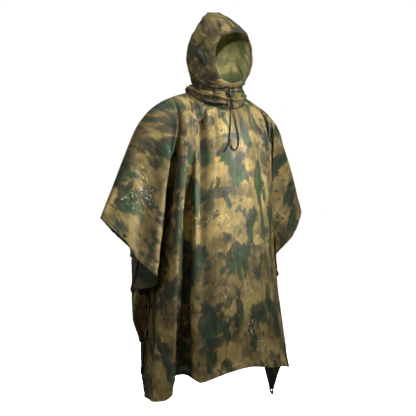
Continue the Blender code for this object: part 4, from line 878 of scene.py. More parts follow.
def panel_relief(face, u, v, s, t, free):
    """How far the cloth stands off its plain form: listed creases, gathers at the neck, drape and small wrinkles."""
    k = NECK_FRONT if face == "front" else NECK_BACK
    length = LENGTH[face]
    seed = 11 if face == "front" else 57
    side_gap, hem_gap = HALF_WIDTH - np.abs(u), length - v
    neck = (np.sqrt((u / NECK_HALF) ** 2 + (v / k) ** 2) - 1) * 0.12
    angle = np.arctan2(v / k, u / NECK_HALF)
    shoulder = np.where(np.abs(u) >= NECK_HALF, v, neck)
    h = crease_relief(u, v, FRONT_CREASES if face == "front" else BACK_CREASES)
    # gathers at the neck seam: irregular pleats that die out over a few centimetres
    pleats = ripple(angle * 17, neck * 6, seed + 1) * 0.0060 * np.exp(-np.clip(neck, 0, 1) / 0.058)
    pleats += ripple(angle * 34, neck * 10, seed + 2) * 0.0036 * np.exp(-np.clip(neck, 0, 1) / 0.026)
    h = h + pleats * ease(neck, -0.001, 0.006)
    # drape: folds that follow the hanging lines, uneven in spacing, deeper towards the hem
    down = ease(t, 0.10, 0.95)
    h = h + ripple(s / 0.052, t * 2.2, seed + 3) * 0.0050 * down
    h = h + ripple(s / 0.026, t * 4.0, seed + 4) * 0.0016 * down
    # small wrinkles and the soft creases of folded storage
    h = h + ripple(u / 0.030 + v / 0.09, v / 0.055, seed + 5) * 0.0011
    h = h + pinch(u / 0.060 + v / 0.11, v / 0.090, seed + 6) * 0.0012
    h = h + pinch(u / 0.026, v / 0.044 + u / 0.08, seed + 7, 0.2) * 0.0007 * (1 + 1.5 * np.exp(-neck / 0.12))
    # the hem: turned, sewn and slightly puckered; the shoulder seam lies flat
    gap = np.minimum(side_gap, hem_gap)
    fastened = ease(v, 0.42, 0.50) * (1 - ease(v, 0.76, 0.84))
    calm = ease(shoulder, 0.0, 0.030) * (1 - (1 - ease(side_gap, 0.0, 0.07)) * (0.55 + 0.35 * fastened))
    h = h * calm * free
    along = np.where(side_gap < hem_gap, v, u)
    h = h + ripple(along / 0.016, gap * 0 + np.sign(u), seed + 8) * 0.0011 * (1 - ease(gap, 0.012, 0.040)) * free * (1 - 0.8 * fastened)
    h = h + 0.0007 * (1 - ease(gap, HEM_SEW - 0.0004, HEM_SEW + 0.0010))
    felled = (np.abs(u) >= NECK_HALF) * (1 - ease(v, 0.0085, 0.0100)) * (0.0010 if face == "back" else 0.0)
    return h + felled


def edge_values(face, u, v):
    """Distance from the sewn edge, and the run along it. Seams to other pieces count from 12.5 mm."""
    k = NECK_FRONT if face == "front" else NECK_BACK
    length = LENGTH[face]
    neck = (np.sqrt((u / NECK_HALF) ** 2 + (v / k) ** 2) - 1) * 0.12
    seam = np.where(np.abs(u) >= NECK_HALF, np.minimum(np.maximum(v, 0), np.maximum(neck, v)), neck) + 0.0125
    d = np.stack([HALF_WIDTH - np.abs(u), length - v, seam])
    which = d.argmin(0)
    run = np.choose(which, [v, u, np.where(np.abs(u) >= NECK_HALF, u, np.arctan2(v / k, u / NECK_HALF) * 0.12)])
    return np.stack([d.min(0), run], -1)


def panel(face, outer, inner):
    lines, length = LINES[face], LENGTH[face]
    step = 0.0062 if face == "front" else 0.0066
    far = HALF_WIDTH - GROMMET_EDGE
    marks = [HALF_WIDTH - HEM_SEW - 0.0010, HALF_WIDTH - HEM_SEW + 0.0004, far - HOLE_HALF, far + HOLE_HALF, HALF_WIDTH - 0.0016]
    wide = spaced(NECK_HALF, HALF_WIDTH, step, marks)
    middle = NECK_HALF * np.sin(np.linspace(-math.pi / 2, math.pi / 2, 95)[1:-1])
    cols = np.concatenate([-wide[::-1], middle, wide])
    far = length - GROMMET_EDGE
    marks = [0.0016, 0.0085, 0.0100, length - HEM_SEW - 0.0010, length - HEM_SEW + 0.0004, far - HOLE_HALF, far + HOLE_HALF,
             length - 0.0016]
    rows = spaced(0.0, length, step, marks)
    sink = np.clip(1 - rows / 0.36, 0, 1) ** 2
    u = np.repeat(cols[:, None], len(rows), 1)
    v = rows[None, :] + neck_depth(face, cols)[:, None] * sink[None, :]
    s, t = line_through(lines, u, v)
    p = on_line(lines, s, t)
    if face == "back":
        p[..., 1] += deepen(s, t)
    p, free = settle(face, u, v, p)
    du, dv = np.gradient(p, axis=0), np.gradient(p, axis=1)
    n = np.cross(dv, du) if face == "front" else np.cross(du, dv)
    n /= np.maximum(np.linalg.norm(n, axis=-1), 1e-12)[..., None]
    p = p + n * panel_relief(face, u, v, s, t, free)[..., None]
    nc, nr = u.shape
    index = np.arange(nc * nr).reshape(nc, nr)
    a, b, c, d = index[:-1, :-1], index[1:, :-1], index[1:, 1:], index[:-1, 1:]
    quads = np.stack([a, b, c, d] if face == "back" else [a, d, c, b], -1).reshape(-1, 4)
    mid_u = (u[:-1, :-1] + u[1:, 1:]).ravel() / 2
    mid_v = (v[:-1, :-1] + v[1:, 1:]).ravel() / 2
    hole = (np.abs(np.abs(mid_u) - (HALF_WIDTH - GROMMET_EDGE)) < HOLE_HALF) & (np.abs(mid_v - (length - GROMMET_EDGE)) < HOLE_HALF)
    ob = object_of(face + "_cloth_sheet", p.reshape(-1, 3), quads[~hole].tolist(), [outer, inner])
    uv_map(ob, "flat", np.stack([u.ravel(), v.ravel() * (1 if face == "front" else -1)], -1))
    uv_map(ob, "edge", edge_values(face, u.ravel(), v.ravel()))
    shell(ob, 0.0010)
    return ob


def plain_nodes():
    return frame["nodes"]


outer = {
    "front": cloth_material("front_camouflage", 4.6, seams=(0.0175,)),
    "back": cloth_material("back_camouflage", 4.6, seams=(0.0175,)),
}
# the panels' inner faces: print scaled to 45% and blended towards near black, painted shade inside the sleeves and
# under the hem
inner = {
    "front": cloth_material("front_reverse", 4.6, inside=True, dark=0.45, inside_tint_and_painted_light=(0.022, 0.026, 0.017)),
    "back": cloth_material("back_reverse", 4.6, inside=True, dark=0.45, inside_tint_and_painted_light=(0.022, 0.026, 0.017)),
}
sheets = {}
for face in ("front", "back"):
    ob = panel(face, outer[face], inner[face])
    sheets[face] = ob
    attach(ob, "root")
    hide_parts(face + "_panel")


# ---------------------------------------------------------------- hood
# w flat: half width of the part of each section that is as far forward as its middle
FLAT = np.array([(0.012, 0.000), (0.028, 0.010), (0.037, 0.021), (0.046, 0.033), (0.066, 0.058), (0.095, 0.077), (0.142, 0.088),
                 (0.190, 0.079), (0.218, 0.060), (0.236, 0.043), (0.245, 0.035), (0.272, 0.016), (0.298, 0.005), (0.334, 0.000)])
W_TABLE = np.linspace(0.037, 0.334, 150)
ARCS = np.linspace(0, 0.40, 401)


def hood_sections():
    a = np.concatenate([np.linspace(0, math.pi / 2, 120), np.linspace(math.pi / 2, math.pi, 120)[1:]])
    table, totals = [], []
    for w in W_TABLE:
        half, front_y, back_y = (float(monotone(w, HOOD[:, 0], HOOD[:, k])) for k in (1, 2, 3))
        flat = min(float(monotone(w, FLAT[:, 0], FLAT[:, 1])), half * 0.92)
        side_y = 0.35 * back_y + 0.1 * front_y
        x = np.where(a <= math.pi / 2, flat + (half - flat) * np.sin(a) ** 0.8, half * np.clip(np.sin(a), 0, 1) ** 0.85)
        y = np.where(a <= math.pi / 2, front_y + (side_y - front_y) * (1 - np.cos(a)) ** 1.05, side_y - (back_y - side_y) * np.cos(a))
        x, y = np.concatenate([[0], x]), np.concatenate([[front_y], y])
        lean = min(max(1 - (w - 0.028) / 0.07, 0), 1)
        z = w + 0.036 * np.clip((y + 0.092) / 0.176, 0, 1) * lean
        run = np.concatenate([[0], np.cumsum(np.hypot(np.diff(x), np.diff(y)))])
        totals.append(run[-1])
        table.append(np.stack([np.interp(ARCS, run, q) for q in (x, y, z)], -1))
    return np.array(table), np.array(totals)


HOOD_TABLE, HOOD_TOTAL = hood_sections()


def hood_total(w):
    return np.interp(w, W_TABLE, HOOD_TOTAL)


def hood_at(run, w):
    """Place on the hood before its turn, on the wearer's left, at an arc run from the middle of the front, at height w."""
    run, w = np.broadcast_arrays(np.asarray(run, float), np.asarray(w, float))
    wi = np.clip((w - W_TABLE[0]) / (W_TABLE[1] - W_TABLE[0]), 0, len(W_TABLE) - 1.0001)
    ri = np.clip(run / (ARCS[1] - ARCS[0]), 0, len(ARCS) - 1.0001)
    i, j = wi.astype(int), ri.astype(int)
    fw, fr = (wi - i)[..., None], (ri - j)[..., None]
    p = ((HOOD_TABLE[i, j] * (1 - fr) + HOOD_TABLE[i, j + 1] * fr) * (1 - fw)
         + (HOOD_TABLE[i + 1, j] * (1 - fr) + HOOD_TABLE[i + 1, j + 1] * fr) * fw)
    # below the table it runs on to the hood's foot on the neck band
    a = np.clip(run / hood_total(0.037), 0, 1) * math.pi
    foot = np.stack([0.092 * np.sin(a), -0.004 - 0.088 * np.cos(a), 0.012 + 0.036 * (1 - np.cos(a)) / 2], -1)
    low = np.clip((0.037 - w) / 0.025, 0, 1)[..., None]
    tuck = np.clip(0.012 - w, 0, 1)[..., None]                       # the lowest rows run on inside the neck band
    foot = foot * np.array([1.0, 1.0, 1.0]) - tuck * np.concatenate([foot[..., :2] * 5.0, np.ones_like(foot[..., :1])], -1)
    return p * (1 - low) + foot * low


def hood_frame(run, w, side, lift=0.0, h=0.005):
    """Place and outward normal on the finished hood."""
    run, w = np.broadcast_arrays(np.abs(np.asarray(run, float)), np.asarray(w, float))
    p = hood_at(run, w)
    n = np.cross(hood_at(run + h, w) - hood_at(np.maximum(run - h, 0), w), hood_at(run, np.minimum(w + h, 0.334)) - hood_at(run, w - h))
    n /= np.maximum(np.linalg.norm(n, axis=-1), 1e-12)[..., None]
    p = (p + n * np.asarray(lift)[..., None]) * np.stack([np.asarray(side, float) + 0 * run, 1 + 0 * run, 1 + 0 * run], -1)
    return turn_hood(p)


def rim_open(w):
    return RIM_HALF * np.sqrt(np.clip(1 - ((w - RIM_MID) / RIM_HIGH) ** 2, 0, 1))


# Folds of the hood on (run, w), signed run: kind, points, width, height, fade in, fade out.
HOOD_CREASES = [
    ("knife", [(-0.205, 0.190), (-0.165, 0.150), (-0.125, 0.105), (-0.085, 0.066), (-0.040, 0.046)], 0.0060, 0.0072, 0.25, 0.10),
    ("roll", [(-0.215, 0.160), (-0.170, 0.124), (-0.128, 0.086), (-0.080, 0.053)], 0.0075, -0.0065, 0.25, 0.15),
    ("knife", [(-0.225, 0.140), (-0.180, 0.106), (-0.135, 0.074), (-0.070, 0.041)], 0.0060, 0.0067, 0.25, 0.10),
    ("knife", [(-0.150, 0.172), (-0.130, 0.140), (-0.108, 0.108)], 0.0060, 0.0052, 0.30, 0.30),
    ("roll", [(-0.176, 0.188), (-0.148, 0.156), (-0.120, 0.120)], 0.0080, -0.0052, 0.30, 0.30),
    ("knife", [(-0.235, 0.112), (-0.195, 0.080), (-0.145, 0.053), (-0.090, 0.031)], 0.0060, 0.0058, 0.25, 0.15),
    ("knife", [(-0.180, 0.245), (-0.150, 0.225), (-0.120, 0.212)], 0.0070, 0.0038, 0.35, 0.35),
    ("roll", [(-0.060, 0.262), (-0.110, 0.232), (-0.150, 0.190)], 0.0110, -0.0043, 0.30, 0.30),
    ("knife", [(0.205, 0.185), (0.160, 0.142), (0.115, 0.096), (0.075, 0.060), (0.036, 0.044)], 0.0060, 0.0070, 0.25, 0.10),
    ("roll", [(0.210, 0.158), (0.168, 0.120), (0.124, 0.082), (0.078, 0.051)], 0.0075, -0.0065, 0.25, 0.15),
    ("knife", [(0.228, 0.132), (0.180, 0.098), (0.130, 0.068), (0.076, 0.038)], 0.0060, 0.0064, 0.25, 0.10),
    ("knife", [(0.160, 0.200), (0.136, 0.160), (0.110, 0.120)], 0.0065, 0.0049, 0.30, 0.30),
    # creases that ring the throat
    ("knife", [(-0.130, 0.040), (-0.075, 0.030), (-0.020, 0.030), (0.030, 0.036)], 0.0042, 0.0064, 0.20, 0.25),
    ("knife", [(-0.150, 0.028), (-0.090, 0.020), (-0.030, 0.018), (0.050, 0.024), (0.110, 0.036)], 0.0042, 0.0067, 0.20, 0.20),
    ("roll", [(-0.140, 0.034), (-0.080, 0.025), (-0.020, 0.024), (0.060, 0.030)], 0.0048, -0.0061, 0.20, 0.20),
    ("knife", [(0.020, 0.040), (0.070, 0.044), (0.130, 0.052)], 0.0045, 0.0052, 0.25, 0.25),
    # more folds that run from the crown and the side down to the chin
    ("knife", [(-0.190, 0.172), (-0.150, 0.128), (-0.112, 0.086), (-0.062, 0.056)], 0.0050, -0.0052, 0.25, 0.12),
    ("knife", [(-0.240, 0.150), (-0.196, 0.116), (-0.150, 0.084), (-0.096, 0.052)], 0.0050, -0.0050, 0.25, 0.15),
    ("knife", [(-0.170, 0.206), (-0.142, 0.170), (-0.120, 0.132)], 0.0055, -0.0042, 0.30, 0.30),
    ("knife", [(-0.126, 0.262), (-0.150, 0.236), (-0.160, 0.200)], 0.0060, 0.0040, 0.30, 0.35),
    ("roll", [(-0.036, 0.284), (-0.076, 0.272), (-0.110, 0.250)], 0.0090, -0.0034, 0.30, 0.30),
    ("knife", [(-0.020, 0.272), (-0.052, 0.262), (-0.084, 0.246)], 0.0060, 0.0034, 0.30, 0.30),
    ("knife", [(0.190, 0.165), (0.148, 0.120), (0.108, 0.080), (0.070, 0.054)], 0.0050, -0.0050, 0.25, 0.12),
]


def hood_relief(run, w, side):
    """run is unsigned here; side says which half."""
    signed = run * side
    total = hood_total(w)
    seed = 101 if side < 0 else 151
    off_rim = (np.hypot(run / RIM_HALF, (w - RIM_MID) / RIM_HIGH) - 1) * 0.09
    h = crease_relief(signed, w, HOOD_CREASES) * (0.6 + 1.0 * ease(off_rim, 0.014, 0.036))
    h = h * (1 - 0.65 * ease(signed, 0.050, 0.090) * (1 - ease(w, 0.050, 0.085)))
    h = h + ripple(signed / 0.034, w / 0.045, 77) * 0.0026
    h = h + pinch(signed / 0.045 + w / 0.06, w / 0.040, seed, 0.10) * 0.0032 * (1 - 0.6 * ease(w, 0.10, 0.20)) * (0.5 + 0.5 * ease(off_rim, 0.014, 0.036))
    h = h + pinch(signed / 0.020, w / 0.030, seed + 1, 0.15) * 0.0009
    low = 1 - ease(w, 0.030, 0.085)
    h = h + pinch(signed / 0.055, w / 0.0120 + 0.5 * np.sin(signed / 0.04), seed + 2, 0.10) * 0.0048 * low
    h = h + pinch(signed / 0.026 + w / 0.03, w / 0.014, seed + 5, 0.12) * 0.0022 * low
    angle = np.arctan2((w - RIM_MID) / RIM_HIGH, run / RIM_HALF)
    out = (np.hypot(run / RIM_HALF, (w - RIM_MID) / RIM_HIGH) - 1) * 0.09
    pucker = ripple(angle * 11, out * 12, seed + 3) * 0.0022 * np.exp(-np.clip(out, 0, 1) / 0.020) * ease(out, -0.002, 0.006)
    h = h + pucker
    seam = np.minimum(np.where(np.hypot(run / RIM_HALF, (w - RIM_MID) / RIM_HIGH) > 1.0, run, 1.0), total - run)
    quiet = ease(seam, 0.0, 0.022) * ease(w, 0.012, 0.018) * (1 - 0.8 * ease(w, 0.312, 0.330))
    h = h * quiet
    h = h + 0.0009 * (1 - ease(seam, 0.0050, 0.0062)) * ease(w, 0.014, 0.020)
    return h, seam


def hood_half(side, outer, inner):
    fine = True
    low = np.concatenate([[0.004, 0.008], np.linspace(0.012, RIM_MID - RIM_HIGH, 18 if fine else 9)[:-1]])
    mid = RIM_MID - RIM_HIGH * np.cos(np.linspace(0, math.pi, 67 if fine else 41))
    top = 0.334 - (0.334 - RIM_MID - RIM_HIGH) * (1 - np.linspace(0, 1, 34 if fine else 19)[1:]) ** 1.25
    rows = np.concatenate([low, mid, top])
    cols = 84 if fine else 48
    share = np.linspace(0, 1, cols)
    share = 0.80 * share + 0.20 * (0.5 - 0.5 * np.cos(math.pi * share))
    w = np.repeat(rows[:, None], cols, 1)
    start, total = rim_open(w), hood_total(w)
    run = start + (total - start) * share[None, :]
    run[:, -1] = total[:, -1]
    lift, seam = hood_relief(run, w, side)
    p = hood_frame(run, w, side, lift)
    edge = (run <= 1e-6) | (np.arange(cols)[None, :] == cols - 1)
    p[..., 0] = np.where(edge, -side * 0.0002, p[..., 0])               # the halves meet at the seam with no slit
    nr, nc = w.shape
    index = np.arange(nr * nc).reshape(nr, nc)
    a, b, c, d = index[:-1, :-1], index[:-1, 1:], index[1:, 1:], index[1:, :-1]
    quads = np.stack([a, b, c, d] if side > 0 else [a, d, c, b], -1).reshape(-1, 4)
    name = "hood_cloth_" + SIDE_NAME[side]
    ob = object_of(name, p.reshape(-1, 3), quads.tolist(), [outer, inner])
    uv_map(ob, "flat", np.stack([run.ravel() * side, w.ravel()], -1))
    uv_map(ob, "edge", np.stack([seam.ravel() + 0.0125, np.where(run < total / 2, w, w + 1).ravel()], -1))
    shell(ob, 0.0010)
    return ob


# the hood's print scaled to 80%: painted shade on the hood
hood_outer = cloth_material("hood_camouflage", 2.3, seams=(0.0144, 0.0175), dark=0.80, crinkle=1.3)
# the hood's inner face: print brightened 2.75 times and blended to a pale tint, painted light inside the hood
hood_inner = cloth_material("hood_reverse", 2.3, inside=True, soft=2.4, dark=2.75, inside_tint_and_painted_light=(0.420, 0.460, 0.190))
hoods = {}
for side in (-1, 1):
    ob = hood_half(side, hood_outer, hood_inner)
    hoods[side] = ob
    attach(ob, "root")
    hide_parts("hood_" + SIDE_NAME[side])


# ---------------------------------------------------------------- face casing
def casing(outer):
    """The turned tunnel: it wraps the rim of the face opening and lies on the hood."""
    # w lift
    section = [(0.0135, -0.0022), (0.0070, -0.0026), (0.0010, -0.0023), (-0.0012, -0.0010), (-0.0016, 0.0006), (-0.0010, 0.0020),
               (0.0014, 0.0031), (0.0056, 0.0037), (0.0110, 0.0037), (0.0155, 0.0032), (0.0190, 0.0024), (0.0212, 0.0014),
               (0.0224, 0.0008), (0.0228, 0.0004)]
    section = rounded_line(section, 0.0012, 0.0011)
    n = 220
    a = np.linspace(0, 2 * math.pi, n, endpoint=False)
    w, lift = section[:, 0][None, :], section[:, 1][None, :]
    c, s = np.cos(a)[:, None], np.sin(a)[:, None]
    run = (RIM_HALF + w) * c
    z = RIM_MID + (RIM_HIGH + w) * s
    puff = 1 + 0.16 * ripple(a[:, None] / (2 * math.pi) * 40, w / 0.012, 311, nx=40) * (lift > 0)
    tuck = ripple(a[:, None] / (2 * math.pi) * 64, w / 0.02, 312, nx=64) * 0.0008
    p = hood_frame(np.maximum(np.abs(run), 0.0), z, np.where(run >= 0, 1.0, -1.0), lift * puff + tuck)
    m = len(section)
    index = np.arange(n * m).reshape(n, m)
    a0, b0 = index, np.roll(index, -1, 0)
    quads = np.stack([a0[:, :-1], b0[:, :-1], b0[:, 1:], a0[:, 1:]], -1).reshape(-1, 4)
    ob = object_of("face_casing_tunnel", p.reshape(-1, 3), quads.tolist(), [outer])
    arc = np.concatenate([[0], np.cumsum(np.hypot(*np.diff(section, axis=0).T))])
    round_ = a * 0.105
    uv_map(ob, "flat", np.stack([run, z], -1).reshape(-1, 2))          # cut in one with the hood's print
    uv_map(ob, "edge", np.stack(np.broadcast_arrays(arc[-1] - arc[None, :] + 0 * round_[:, None], round_[:, None] + 0 * arc), -1).reshape(-1, 2))
    shell(ob, 0.0007, inner=0)
    return ob


# print scaled to 80% like the hood's: painted shade
ob = casing(cloth_material("casing_camouflage", 2.3, seams=(0.0024, 0.0052), dark=0.80, crinkle=1.2))
face_casing = ob
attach(ob, "root")
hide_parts("face_casing")


# ---------------------------------------------------------------- neck band
BAND_SPLIT = 0.36


def neck_band(materials):
    """A narrow strip of tight gathers on the neck seam, which takes the band materials darkened as painted shade, and
    loose cowl folds above it, up to the hood.
    """
    n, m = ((480, 52))
    a = np.linspace(0, 2 * math.pi, n, endpoint=False)
    c, s = np.cos(a), np.sin(a)
    low = np.where((s >= 0)[:, None], neck_seam("back", NECK_HALF * c), neck_seam("front", NECK_HALF * c))
    low = low + np.stack([-0.0016 * c, -0.0016 * s, 0 * c + 0.0022], -1)
    high = np.stack([0.092 * c, -0.004 + 0.088 * s, 0.012 + 0.036 * (1 + s) / 2 - 0.0010], -1)
    out = np.stack([c, s, 0 * c], -1)
    wander = ripple(a / (2 * math.pi) * 13, 0 * a, 409, nx=13)
    high = high + out * (0.0030 + 0.0030 * wander + 0.0050 * np.clip(-s, 0, 1))[:, None] + np.stack([0 * a, 0 * a, 0.0050 * wander], -1)
    run, rise = ((high - low) * out).sum(-1), high[:, 2] - low[:, 2]
    normal = (out * rise[:, None] - np.array([0, 0, 1.0]) * run[:, None]) / np.hypot(run, rise)[:, None]
    up = np.linspace(0, 1, m)
    up = up + 0.010 * np.sin(2 * math.pi * up / BAND_SPLIT) * (up < BAND_SPLIT)
    turn = a[:, None] / (2 * math.pi)
    at_side = np.maximum(np.exp(-((a - math.pi) / 0.42) ** 2), np.exp(-(np.minimum(a, 2 * math.pi - a) / 0.36) ** 2))[:, None]
    front = np.clip(-s, 0, 1)[:, None] ** 0.7
    split = 0.20 + 0.24 * at_side[:, 0] + 0.12 * ripple(a / (2 * math.pi) * 11, 0 * a, 410, nx=11)
    strip = 1 - ease(up[None, :] - split[:, None], -0.03, 0.06)
    cowl = 1 - strip
    push = monotone(up, [0, 0.10, 0.22, 0.36, 0.60, 0.85, 1.0], [0, 0.0050, 0.0068, 0.0060, 0.0078, 0.0060, 0.0010])
    h = push[None, :] * np.ones_like(turn)
    # the strip: tight irregular gathers and a swelling at either side of the neck
    h = h + strip * ripple(turn * 110 + 0.7 * up, up * 3.0, 401, nx=110) * 0.0042 * (0.55 + 0.45 * np.sin(math.pi * up / BAND_SPLIT).clip(0, 1))
    h = h + strip * ripple(turn * 60, up * 5.0, 406, nx=60) * 0.0026
    h = h + at_side * np.exp(-((up - 0.30) / 0.26) ** 2)[None, :] * (0.0062 + 0.0040 * ripple(turn * 44, up * 4, 403, nx=44))
    # the cowl: long folds that hang round the throat, and crumple between them
    wave = 0.30 * np.sin(2 * a[:, None] + 0.7) + 0.22 * np.sin(5 * a[:, None] + 2.0)
    h = h + cowl * pinch(turn * 10, up * 5.2 + wave, 404, 0.08) * 0.0092 * (0.45 + 0.55 * front)
    h = h + cowl * pinch(turn * 22 + up * 2, up * 8.0 - wave, 405, 0.12) * 0.0034
    h = h + cowl * ripple(turn * 60 - 3 * up, up * 6.0, 402, nx=60) * 0.0020
    h = h - 0.0022 * np.exp(-((up[None, :] - split[:, None]) / 0.030) ** 2)
    h = h * ease(up, 0.0, 0.06)[None, :] * (1 - ease(up, 0.90, 1.0))[None, :]
    p = low[:, None] * (1 - up)[None, :, None] + high[:, None] * up[None, :, None] + normal[:, None] * h[..., None]
    tuck = high[:, None] + np.stack([-0.0110 * c, -0.0110 * s, 0 * c + 0.0040], -1)[:, None]
    p = np.concatenate([p, tuck], 1)
    up = np.append(up, 1.05)
    m += 1
    index = np.arange(n * m).reshape(n, m)
    b0 = np.roll(index, -1, 0)
    quads = np.stack([index[:, :-1], b0[:, :-1], b0[:, 1:], index[:, 1:]], -1).reshape(-1, 4)
    ob = object_of("neck_band_gathers", p.reshape(-1, 3), quads.tolist(), materials)
    kind = np.where(up[None, :-1] < split[:, None], 0, 2).ravel().astype(np.int32)
    ob.data.polygons.foreach_set("material_index", kind)
    tall = np.linalg.norm(high - low, axis=1)
    shape = (n, m)
    uv_map(ob, "flat", np.stack([np.broadcast_to(a[:, None] * 0.118, shape), up[None, :] * tall[:, None]], -1).reshape(-1, 2))
    edge = up[None, :] * tall[:, None]
    uv_map(ob, "edge", np.stack([edge, np.broadcast_to(a[:, None] * 0.11, shape)], -1).reshape(-1, 2))
    shell(ob, 0.0010)
    return ob


# the gathered strip's print scaled to half and the cowl's to 88% (80% inside): painted shade in the gathers and under
# the hood
ob = neck_band([cloth_material("band_camouflage", 5.7, seams=(0.0030,), dark=0.50, crinkle=1.8),
                cloth_material("band_reverse", 5.7, inside=True, dark=0.50),
                cloth_material("cowl_camouflage", 2.9, seams=(0.0030,), dark=0.88, crinkle=1.8),
                cloth_material("cowl_reverse", 2.9, inside=True, dark=0.80)])
band = ob
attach(ob, "root")
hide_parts("neck_band")


# ---------------------------------------------------------------- turned metal
def lathe(name, profiles, material, place, steps=40):
    """Closed or capped profiles (radius, height), spun about Z and put on their place."""
    verts, faces = [], []
    for profile, closed in profiles:
        first, rows = [], len(profile)
        for r, h in profile:
            if r < 1e-7:
                first.append([len(verts)] * steps)
                verts.append((0, 0, h))
            else:
                first.append([len(verts) + k for k in range(steps)])
                verts += [(r * math.cos(2 * math.pi * k / steps), r * math.sin(2 * math.pi * k / steps), h) for k in range(steps)]
        for i in range(rows if closed else rows - 1):
            a, b = first[i], first[(i + 1) % rows]
            for k in range(steps):
                m = (k + 1) % steps
                face = []
                for q in (a[k], b[k], b[m], a[m]):
                    if q not in face:
                        face.append(q)
                if len(face) > 2:
                    faces.append(tuple(face))
    me = bpy.data.meshes.new(name)
    me.from_pydata(verts, [], faces)
    me.validate()
    me.materials.append(material)
    me.shade_smooth()
    me.set_sharp_from_angle(angle=math.radians(38))
    me.transform(place)
    me.update()
    ob = bpy.data.objects.new(name, me)
    scene.collection.objects.link(ob)
    return ob


def stand(centre, axis):
    q = Vector([float(c) for c in axis]).normalized().to_track_quat("Z", "Y")
    return Matrix.Translation(Vector([float(c) for c in centre])) @ q.to_matrix().to_4x4()


CAP = [(0, 0.0024), (0.0016, 0.00232), (0.0028, 0.0021), (0.0036, 0.0017), (0.0039, 0.00135), (0.0043, 0.0013), (0.0048, 0.0016),
       (0.0055, 0.0018), (0.0061, 0.0015), (0.0065, 0.0009), (0.0066, 0.0004), (0.0064, 0), (0, 0)]
STUD = [(0, 0.0031), (0.0012, 0.0031), (0.0019, 0.0028), (0.0022, 0.0023), (0.0021, 0.0017), (0.0019, 0.0013), (0.0024, 0.0011),
        (0.0042, 0.0010), (0.0050, 0.0009), (0.0055, 0.0005), (0.0056, 0.0002), (0.0055, 0), (0, 0)]
BACKING = [(0, -0.0016), (0.0046, -0.0016), (0.0052, -0.0018), (0.0055, -0.0022), (0.0050, -0.0026), (0.0036, -0.0027),
           (0.0028, -0.0024), (0.0024, -0.0020), (0, -0.0020)]
RING = [(0.0041, 0.0008), (0.0044, 0.0017), (0.0052, 0.0024), (0.0064, 0.0027), (0.0078, 0.0025), (0.0091, 0.0018), (0.0099, 0.0010),
        (0.0100, 0.0007), (0.0053, 0.0007), (0.0053, -0.0013), (0.0096, -0.0013), (0.0098, -0.0017), (0.0086, -0.0023),
        (0.0066, -0.0027), (0.0050, -0.0024), (0.0042, -0.0016)]
for (face, side, v), (_, _, p, n, _, _, _) in PATCHES.items():
    where = f"{face}_{SIDE_NAME[side]}"
    if v in SNAP_AT:
        node = f"snap_{where}_{SNAP_AT.index(v) + 1}"
        ob = lathe(("cap_" if face == "front" else "stud_") + node, [(CAP if face == "front" else STUD, False), (BACKING, False)],
                   METAL, stand(p + n * 0.0008, n))
    else:
        node = f"grommet_{where}"
        ob = lathe("ring_" + node, [(RING, True)], METAL, stand(p + n * 0.0003, n), 48)
    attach(ob, "root")
    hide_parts(node)


# ---------------------------------------------------------------- cord lock
def rounded_block(size, power, rows, steps):
    """A moulded body of rounded section: (z share, scale) rows."""
    verts, faces = [], []
    for z, k in rows:
        for i in range(steps):
            a = 2 * math.pi * (i + 0.5) / steps
            c, s = math.cos(a), math.sin(a)
            x = math.copysign(abs(c) ** (2 / power), c) * size[0] / 2 * k
            y = math.copysign(abs(s) ** (2 / power), s) * size[1] / 2 * (1 - (1 - k) * 1.4)
            verts.append((x, y, z * size[2]))
    n = len(rows)
    for r in range(n - 1):
        for i in range(steps):
            j = (i + 1) % steps
            faces.append((r * steps + i, r * steps + j, (r + 1) * steps + j, (r + 1) * steps + i))
    faces.append(tuple(range(steps))[::-1])
    faces.append(tuple(range((n - 1) * steps, n * steps)))
    return verts, faces


def cord_lock():
    rows = [(-0.500, 0.80), (-0.490, 0.87), (-0.465, 0.93), (-0.430, 0.965), (-0.380, 0.985)]
    for k in range(5):                                   # grip ribs down its sides
        z = -0.26 + 0.115 * k
        rows += [(z - 0.036, 0.985), (z - 0.022, 0.930), (z + 0.022, 0.930), (z + 0.036, 0.985)]
    rows += [(0.340, 1.0), (0.420, 0.985), (0.460, 0.945), (0.488, 0.88), (0.500, 0.80)]
    verts, faces = rounded_block(LOCK_SIZE, 4.0, rows, 48)
    body = object_of("cord_lock_moulding", verts, faces, [PLASTIC])
    body.data.set_sharp_from_angle(angle=math.radians(50))
    turn = Matrix.Translation(Vector(LOCK_AT)) @ Matrix.Rotation(LOCK_TURN, 4, "Z")
    cutters = []
    for side in (-1, 1):
        me = bpy.data.meshes.new("bore")
        bm = bmesh.new()
        bmesh.ops.create_cone(bm, cap_ends=True, segments=24, radius1=BORE_R, radius2=BORE_R, depth=0.06)
        bmesh.ops.translate(bm, verts=bm.verts[:], vec=(side * BORE_X, 0, 0))
        bm.to_mesh(me)
        bm.free()
        cut = bpy.data.objects.new("bore", me)
        scene.collection.objects.link(cut)
        mod = body.modifiers.new("bore", "BOOLEAN")
        mod.operation, mod.solver, mod.object = "DIFFERENCE", "EXACT", cut
        cutters.append(cut)
    bpy.context.view_layer.update()
    baked(body)
    for cut in cutters:
        me = cut.data
        bpy.data.objects.remove(cut)
        bpy.data.meshes.remove(me)
    body.data.transform(turn)
    body.data.update()
    if not body.data.materials:
        body.data.materials.append(PLASTIC)
    top = turn @ Vector((0, 0, LOCK_SIZE[2] / 2 + 0.0001))
    button = lathe("cord_lock_push", [([(0, 0.0038), (0.0011, 0.0038), (0.0017, 0.0035), (0.0021, 0.0029), (0.0022, 0.0022), (0.0018, 0.0018),
                                         (0.0018, 0.0012), (0.0021, 0.0010), (0.0021, 0), (0, 0)], False)], PLASTIC,
                   Matrix.Translation(top), 32)
    return turn, body, button


lock, lock_body, lock_button = cord_lock()
for ob, node in ((lock_body, "cord_lock_body"), (lock_button, "cord_lock_button")):
    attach(ob, "root")
    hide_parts(node)


